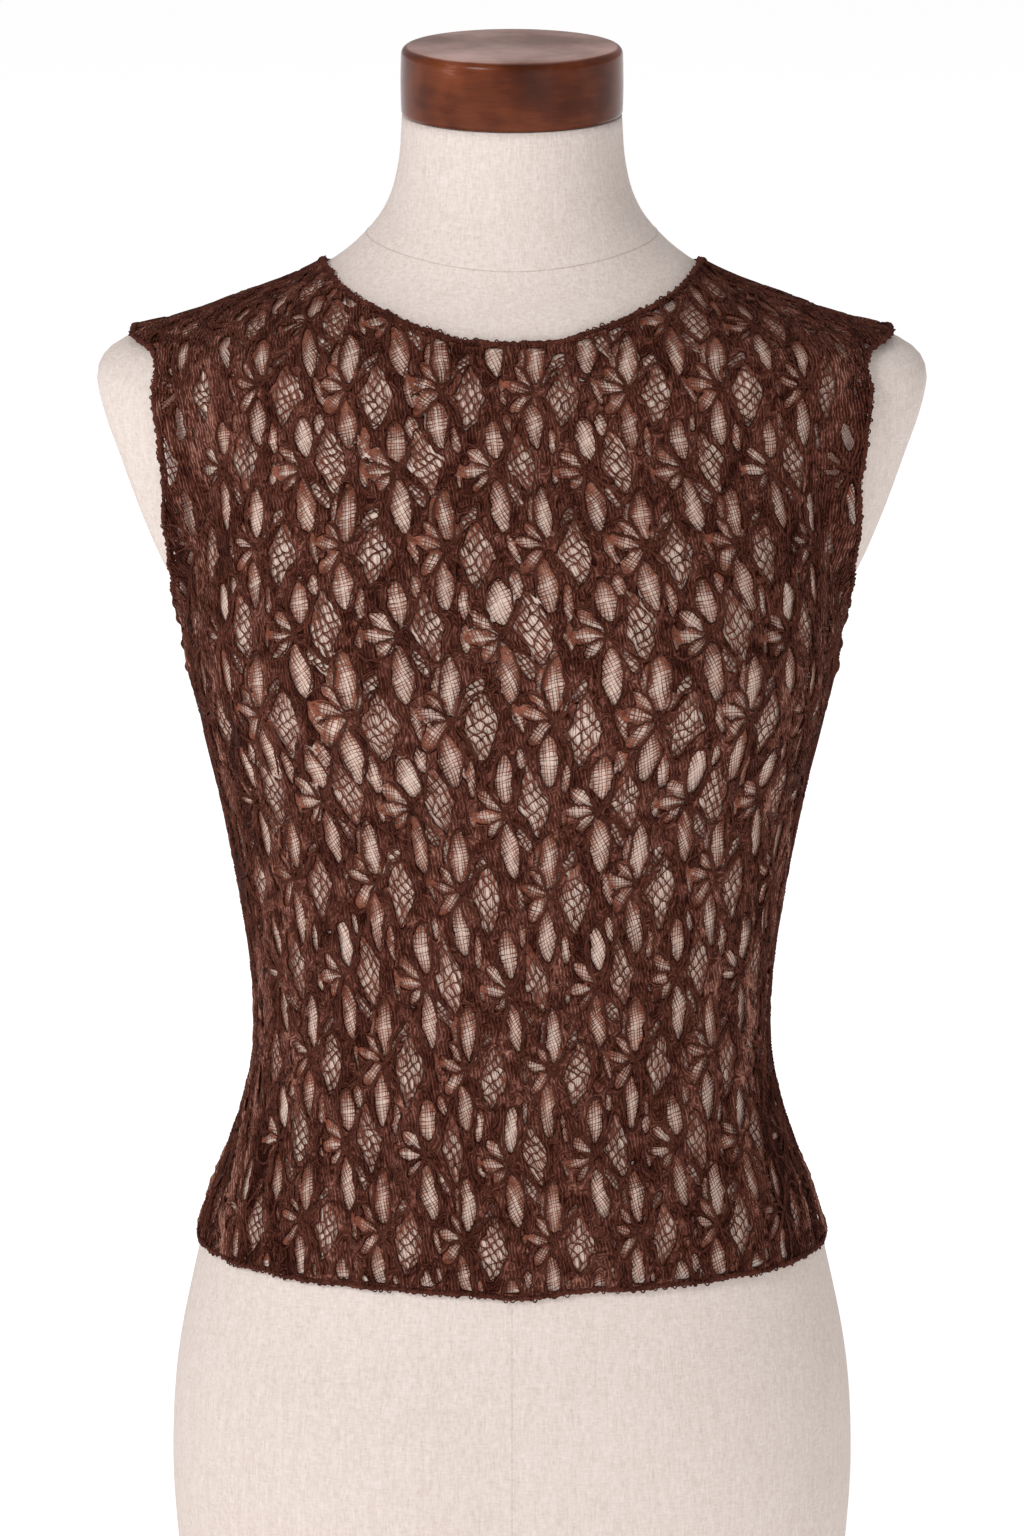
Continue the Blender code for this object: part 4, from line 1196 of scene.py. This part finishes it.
class Shader:
    """A node material under construction."""

    def __init__(self, name):
        self.material = bpy.data.materials.new(name)
        self.material.use_nodes = True
        self.tree = self.material.node_tree
        self.surface = self.tree.nodes["Principled BSDF"]
        self.where = self.add("ShaderNodeTexCoord").outputs["Object"]

    def connect(self, socket, value):
        """Sets a socket to a value, or links another socket to it."""
        if isinstance(value, bpy.types.NodeSocket):
            self.tree.links.new(value, socket)
        else:
            socket.default_value = value

    def add(self, kind, inputs=None, **settings):
        """A node with its settings and inputs."""
        node = self.tree.nodes.new(kind)
        for key, value in settings.items():
            setattr(node, key, value)
        for key, value in (inputs or {}).items():
            self.connect(node.inputs[key], value)
        return node

    def math(self, operation, first, second=0.0, third=0.0):
        """Result of a Math node."""
        inputs = {0: first, 1: second, 2: third}
        return self.add("ShaderNodeMath", inputs, operation=operation).outputs[0]

    def total(self, *parts):
        """Sum of values, each times its weight."""
        (value, weight), *rest = reversed(parts)
        found = self.math("MULTIPLY", value, weight)
        for value, weight in rest:
            found = self.math("MULTIPLY_ADD", value, weight, found)
        return found

    def wave(self, *parts):
        """Sine of a weighted sum, from 0 to 1."""
        return self.math("MULTIPLY_ADD", self.math("SINE", self.total(*parts)), 0.5, 0.5)

    def noise(self, scale, detail=2.0, stretch=None, roughness=0.5):
        """Noise in object space; scale is in features a metre."""
        where = self.where
        if stretch:
            where = self.add("ShaderNodeMapping", {"Vector": where, "Scale": stretch}).outputs[0]
        inputs = {"Vector": where, "Scale": scale, "Detail": detail, "Roughness": roughness}
        return self.add("ShaderNodeTexNoise", inputs).outputs["Fac"]

    def attribute(self, name):
        """A number kept with the mesh's points."""
        return self.add("ShaderNodeAttribute", attribute_name=name).outputs["Fac"]

    def ramp(self, factor, *stops):
        """Colour ramp through (place, colour) stops."""
        node = self.add("ShaderNodeValToRGB", {"Fac": factor})
        elements = node.color_ramp.elements
        while len(elements) < len(stops):
            elements.new(0.5)
        for element, (place, colour) in zip(elements, stops):
            element.position = place
            element.color = (*colour, 1)
        return node.outputs["Color"]

    def spread(self, value, low, high, to_low=0.0, to_high=1.0):
        """Value from low to high mapped to a new range."""
        inputs = {"Value": value, "From Min": low, "From Max": high, "To Min": to_low, "To Max": to_high}
        return self.add("ShaderNodeMapRange", inputs).outputs["Result"]

    def bump(self, height, distance, strength=1.0):
        """Normal of a height pattern; distance is in metres."""
        inputs = {"Height": height, "Distance": distance, "Strength": strength}
        return self.add("ShaderNodeBump", inputs).outputs["Normal"]

    def finish(self, **values):
        """Sets the surface's sockets, named with _ for a space, and returns the material."""
        for key, value in values.items():
            self.connect(self.surface.inputs[key.replace("_", " ")], value)
        return self.material


def lace_material():
    """Brown lace: fine threads round the openings and up the sides, crinkled, unevenly dyed, with
    painted highlight and shade.
    """
    s = Shader("brown_lace")
    edge, dye_and_relief_shade, across, run = (s.attribute(name) for name in ("edge", "dye_and_relief_shade", "across", "run"))
    around_openings = s.wave((edge, 2 * math.pi / 1.35), (s.noise(210, 1.0), 9.0))
    lean = s.math("MULTIPLY_ADD", run, 0.16, across)
    upward = s.wave((lean, 2 * math.pi / 1.6), (s.noise(260, 1.0), 9.0))
    beside = s.spread(s.math("ABSOLUTE", across), 95, 165)
    chosen = s.math("MAXIMUM", s.spread(s.noise(170), 0.47, 0.55), beside)
    thread = s.total((around_openings, s.math("SUBTRACT", 1.0, chosen)), (upward, chosen))
    fine = s.noise(1000)
    contrast = s.math("MULTIPLY_ADD", beside, 0.08, 0.29)
    # The colour paints the threads' crests lighter and their gaps darker, a painted highlight and shade,
    # and is a little darker by the sides.
    mix = s.total((thread, contrast), (fine, 0.38), (dye_and_relief_shade, 0.56), (s.noise(200), 0.26),
                  (beside, -0.05))
    colour = s.ramp(s.spread(mix, 0.36, 1.14),
                    (0.0, (0.022, 0.0042, 0.0022)), (0.26, (0.052, 0.0135, 0.0082)),
                    (0.52, (0.105, 0.0325, 0.0215)), (0.78, (0.21, 0.078, 0.055)),
                    (1.0, (0.40, 0.19, 0.14)))
    normal = s.bump(s.total((thread, 0.8), (fine, 0.6)), 0.0012)
    return s.finish(Base_Color=colour, Roughness=0.7, Normal=normal, Specular_IOR_Level=0.04)


def thread_material(name, dark, light, size=900):
    """Sewing and net thread, in two tones."""
    s = Shader(name)
    twist = s.noise(size)
    mix = s.total((twist, 0.7), (s.noise(90), 0.5))
    colour = s.ramp(s.spread(mix, 0.38, 0.80), (0.0, dark), (1.0, light))
    normal = s.bump(twist, 0.0005, 0.9)
    return s.finish(Base_Color=colour, Roughness=0.7, Normal=normal, Specular_IOR_Level=0.04)


def linen_material():
    """Natural linen: a fine even weave with a few soft slubs, painted lighter and redder under the lace
    as painted bounce light.
    """
    s = Shader("natural_linen")
    warp_threads = s.noise(1.0, 2.0, (1150, 1150, 260))
    weft_threads = s.noise(1.0, 2.0, (300, 300, 1150))
    slub = s.noise(1.0, 2.0, (420, 420, 60), 0.6)
    weave = s.total((warp_threads, 0.6), (weft_threads, 0.5))
    mix = s.spread(s.total((weave, 0.62), (slub, 0.20), (s.noise(11), 0.10)), 0.30, 0.62)
    bare = s.ramp(mix, (0.0, (0.60, 0.50, 0.445)), (0.5, (0.70, 0.60, 0.548)),
                  (1.0, (0.78, 0.695, 0.65)))
    # Under the lace the linen is painted lighter and redder: painted bounce light from the brown
    # threads, which also offsets the threads' shadows.
    painted_bounce = s.ramp(mix, (0.0, (0.74, 0.555, 0.46)), (0.5, (0.86, 0.68, 0.58)),
                  (1.0, (0.93, 0.765, 0.675)))
    inputs = {0: s.attribute("covered"), 6: bare, 7: painted_bounce}
    colour = s.add("ShaderNodeMix", inputs, data_type="RGBA").outputs[2]
    normal = s.bump(s.math("MULTIPLY_ADD", slub, 0.3, weave), 0.0006, 0.7)
    return s.finish(Base_Color=colour, Roughness=0.88, Normal=normal, Specular_IOR_Level=0.1)


def wood_material():
    """Turned mahogany with a satin varnish; its flat top is painted paler, a painted sheen."""
    s = Shader("satin_mahogany")
    grain = s.noise(1.0, 4.0, (26, 26, 190), 0.6)
    pores = s.noise(1.0, 2.0, (160, 160, 2600), 0.6)
    cloud = s.noise(22, 3.0)
    # The top mask paints the flat top paler: a painted sheen.
    mix = s.total((s.attribute("top"), 0.30), (grain, 0.22), (pores, 0.12), (cloud, 0.8))
    colour = s.ramp(s.spread(mix, 0.40, 1.05),
                    (0.0, (0.026, 0.0050, 0.0016)), (0.25, (0.078, 0.0150, 0.0042)),
                    (0.52, (0.18, 0.042, 0.0135)), (1.0, (0.62, 0.36, 0.31)))
    return s.finish(Base_Color=colour, Roughness=s.spread(grain, 0.3, 0.7, 0.16, 0.26),
                    Normal=s.bump(cloud, 0.0003, 0.2), Specular_IOR_Level=0.17)


def floor_material():
    """Matt white studio paint that glows a little, so that it stays even."""
    s = Shader("studio_paint")
    colour = s.ramp(s.noise(0.7, 1.0), (0.0, (0.96515,) * 3), (1.0, (0.97,) * 3))
    return s.finish(Base_Color=colour, Roughness=0.95, Specular_IOR_Level=0.0,
                    Emission_Color=(1, 1, 1, 1), Emission_Strength=FLOOR_GLOW)


def add_floor(finish):
    """Pale studio floor, far wider than the view."""
    sides = np.linspace(-FLOOR_REACH, FLOOR_REACH, 13) / MM
    grid = np.stack(np.meshgrid(sides, sides, indexing="ij"), axis=-1).reshape(-1, 2)
    points = np.concatenate([grid, np.full((len(grid), 1), -0.2)], axis=1)
    return fast_mesh("studio_floor", points, [grid_faces(13, 13)[:, ::-1]], finish)


def placed(data, place, turn):
    """A light or camera in the scene."""
    item = bpy.data.objects.new(data.name, data)
    item.location = place
    item.rotation_euler = turn
    bpy.context.scene.collection.objects.link(item)
    return item


def add_light(name, place, aim_height, side, power):
    """A square area light aimed at the form's axis; place, height and side in metres."""
    data = bpy.data.lights.new(name, "AREA")
    data.shape = "SQUARE"
    data.size = side
    data.energy = power
    aim = Vector((0, 0, aim_height)) - Vector(place)
    placed(data, place, aim.to_track_quat("-Z", "Y").to_euler())


def add_camera():
    """The camera of the photograph: far off, above the form, looking slightly down."""
    data = bpy.data.cameras.new("camera")
    data.sensor_fit = "VERTICAL"
    data.sensor_height = 36
    data.lens = CAMERA_LENS
    data.clip_end = 100
    camera = placed(data, CAMERA_PLACE, (math.radians(90 - CAMERA_DOWN), 0, 0))
    bpy.context.scene.camera = camera


def add_studio():
    """Floor, soft light mostly from the front left, and camera."""
    scene = bpy.context.scene
    scene.view_settings.view_transform = "Standard"
    world = bpy.data.worlds.new("studio")
    world.use_nodes = True
    background = world.node_tree.nodes["Background"]
    background.inputs["Color"].default_value = (1, 1, 1, 1)
    background.inputs["Strength"].default_value = WORLD_LIGHT
    scene.world = world
    add_floor(floor_material())
    for light in LIGHTS:
        add_light(*light)
    add_camera()


def belong(piece, slot, *nodes):
    """Fixes a piece to the model and hides the imported solids that it stands for; slot is not used."""
    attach(piece, "root")
    if nodes:
        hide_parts(*nodes)
    return piece


add_studio()

form = belong(add_form(linen_material()), "linen", "dress_form")
seam_finish = thread_material("linen_seam", (0.47, 0.38, 0.33), (0.64, 0.55, 0.49))
belong(add_form_seams(seam_finish), "linen")
belong(add_cap(wood_material()), "wood", "neck_cap")

lace_finish = lace_material()
fine_finish = thread_material("fine_net_thread", (0.062, 0.0140, 0.0075), (0.31, 0.104, 0.064), 500)
net_finish = thread_material("net_thread", (0.038, 0.0092, 0.0054), (0.19, 0.064, 0.042))
heavy_finish = thread_material("cord_thread", (0.022, 0.0052, 0.0030), (0.125, 0.040, 0.026), 1200)
edging_finish = thread_material("edging_thread", (0.024, 0.0060, 0.0036), (0.135, 0.043, 0.029))

turn = all_round(720)
arm = armhole(all_round(720, -math.pi))
edges = []
for name, (angles, heights), mirror, away, seed, node in (
    ("neck_overcast", (turn, neckline(turn)), 1, -1, 61, "neck_edging"),
    ("hem_overcast", (turn, hemline(turn)), 1, 1, 62, "hem_edging"),
    ("armhole_overcast_left", arm, 1, 1, 63, "armhole_edging_left"),
    ("armhole_overcast_right", arm, -1, 1, 64, "armhole_edging_right"),
):
    edging = add_edging(name, angles, heights, mirror, away, edging_finish, seed)
    edges.append(belong(edging, "edging", node))
edges.append(belong(add_seams("lace_seams", edging_finish, 81), "edging"))

for side, word, edgings in ((-1, "front", edges), (1, "back", ())):
    lace = Lace(side)
    cloth = belong(add_cloth(lace, f"{word}_lace", lace_finish), "lace", f"{word}_panel")
    coarse = belong(add_net(lace, f"{word}_coarse_net", "coarse", net_finish, 71), "lace")
    fine = belong(add_net(lace, f"{word}_fine_net", "fine", fine_finish, 72), "lace")
    heavy = belong(add_threads(lace, f"{word}_outline_threads", heavy_finish, 73), "lace")
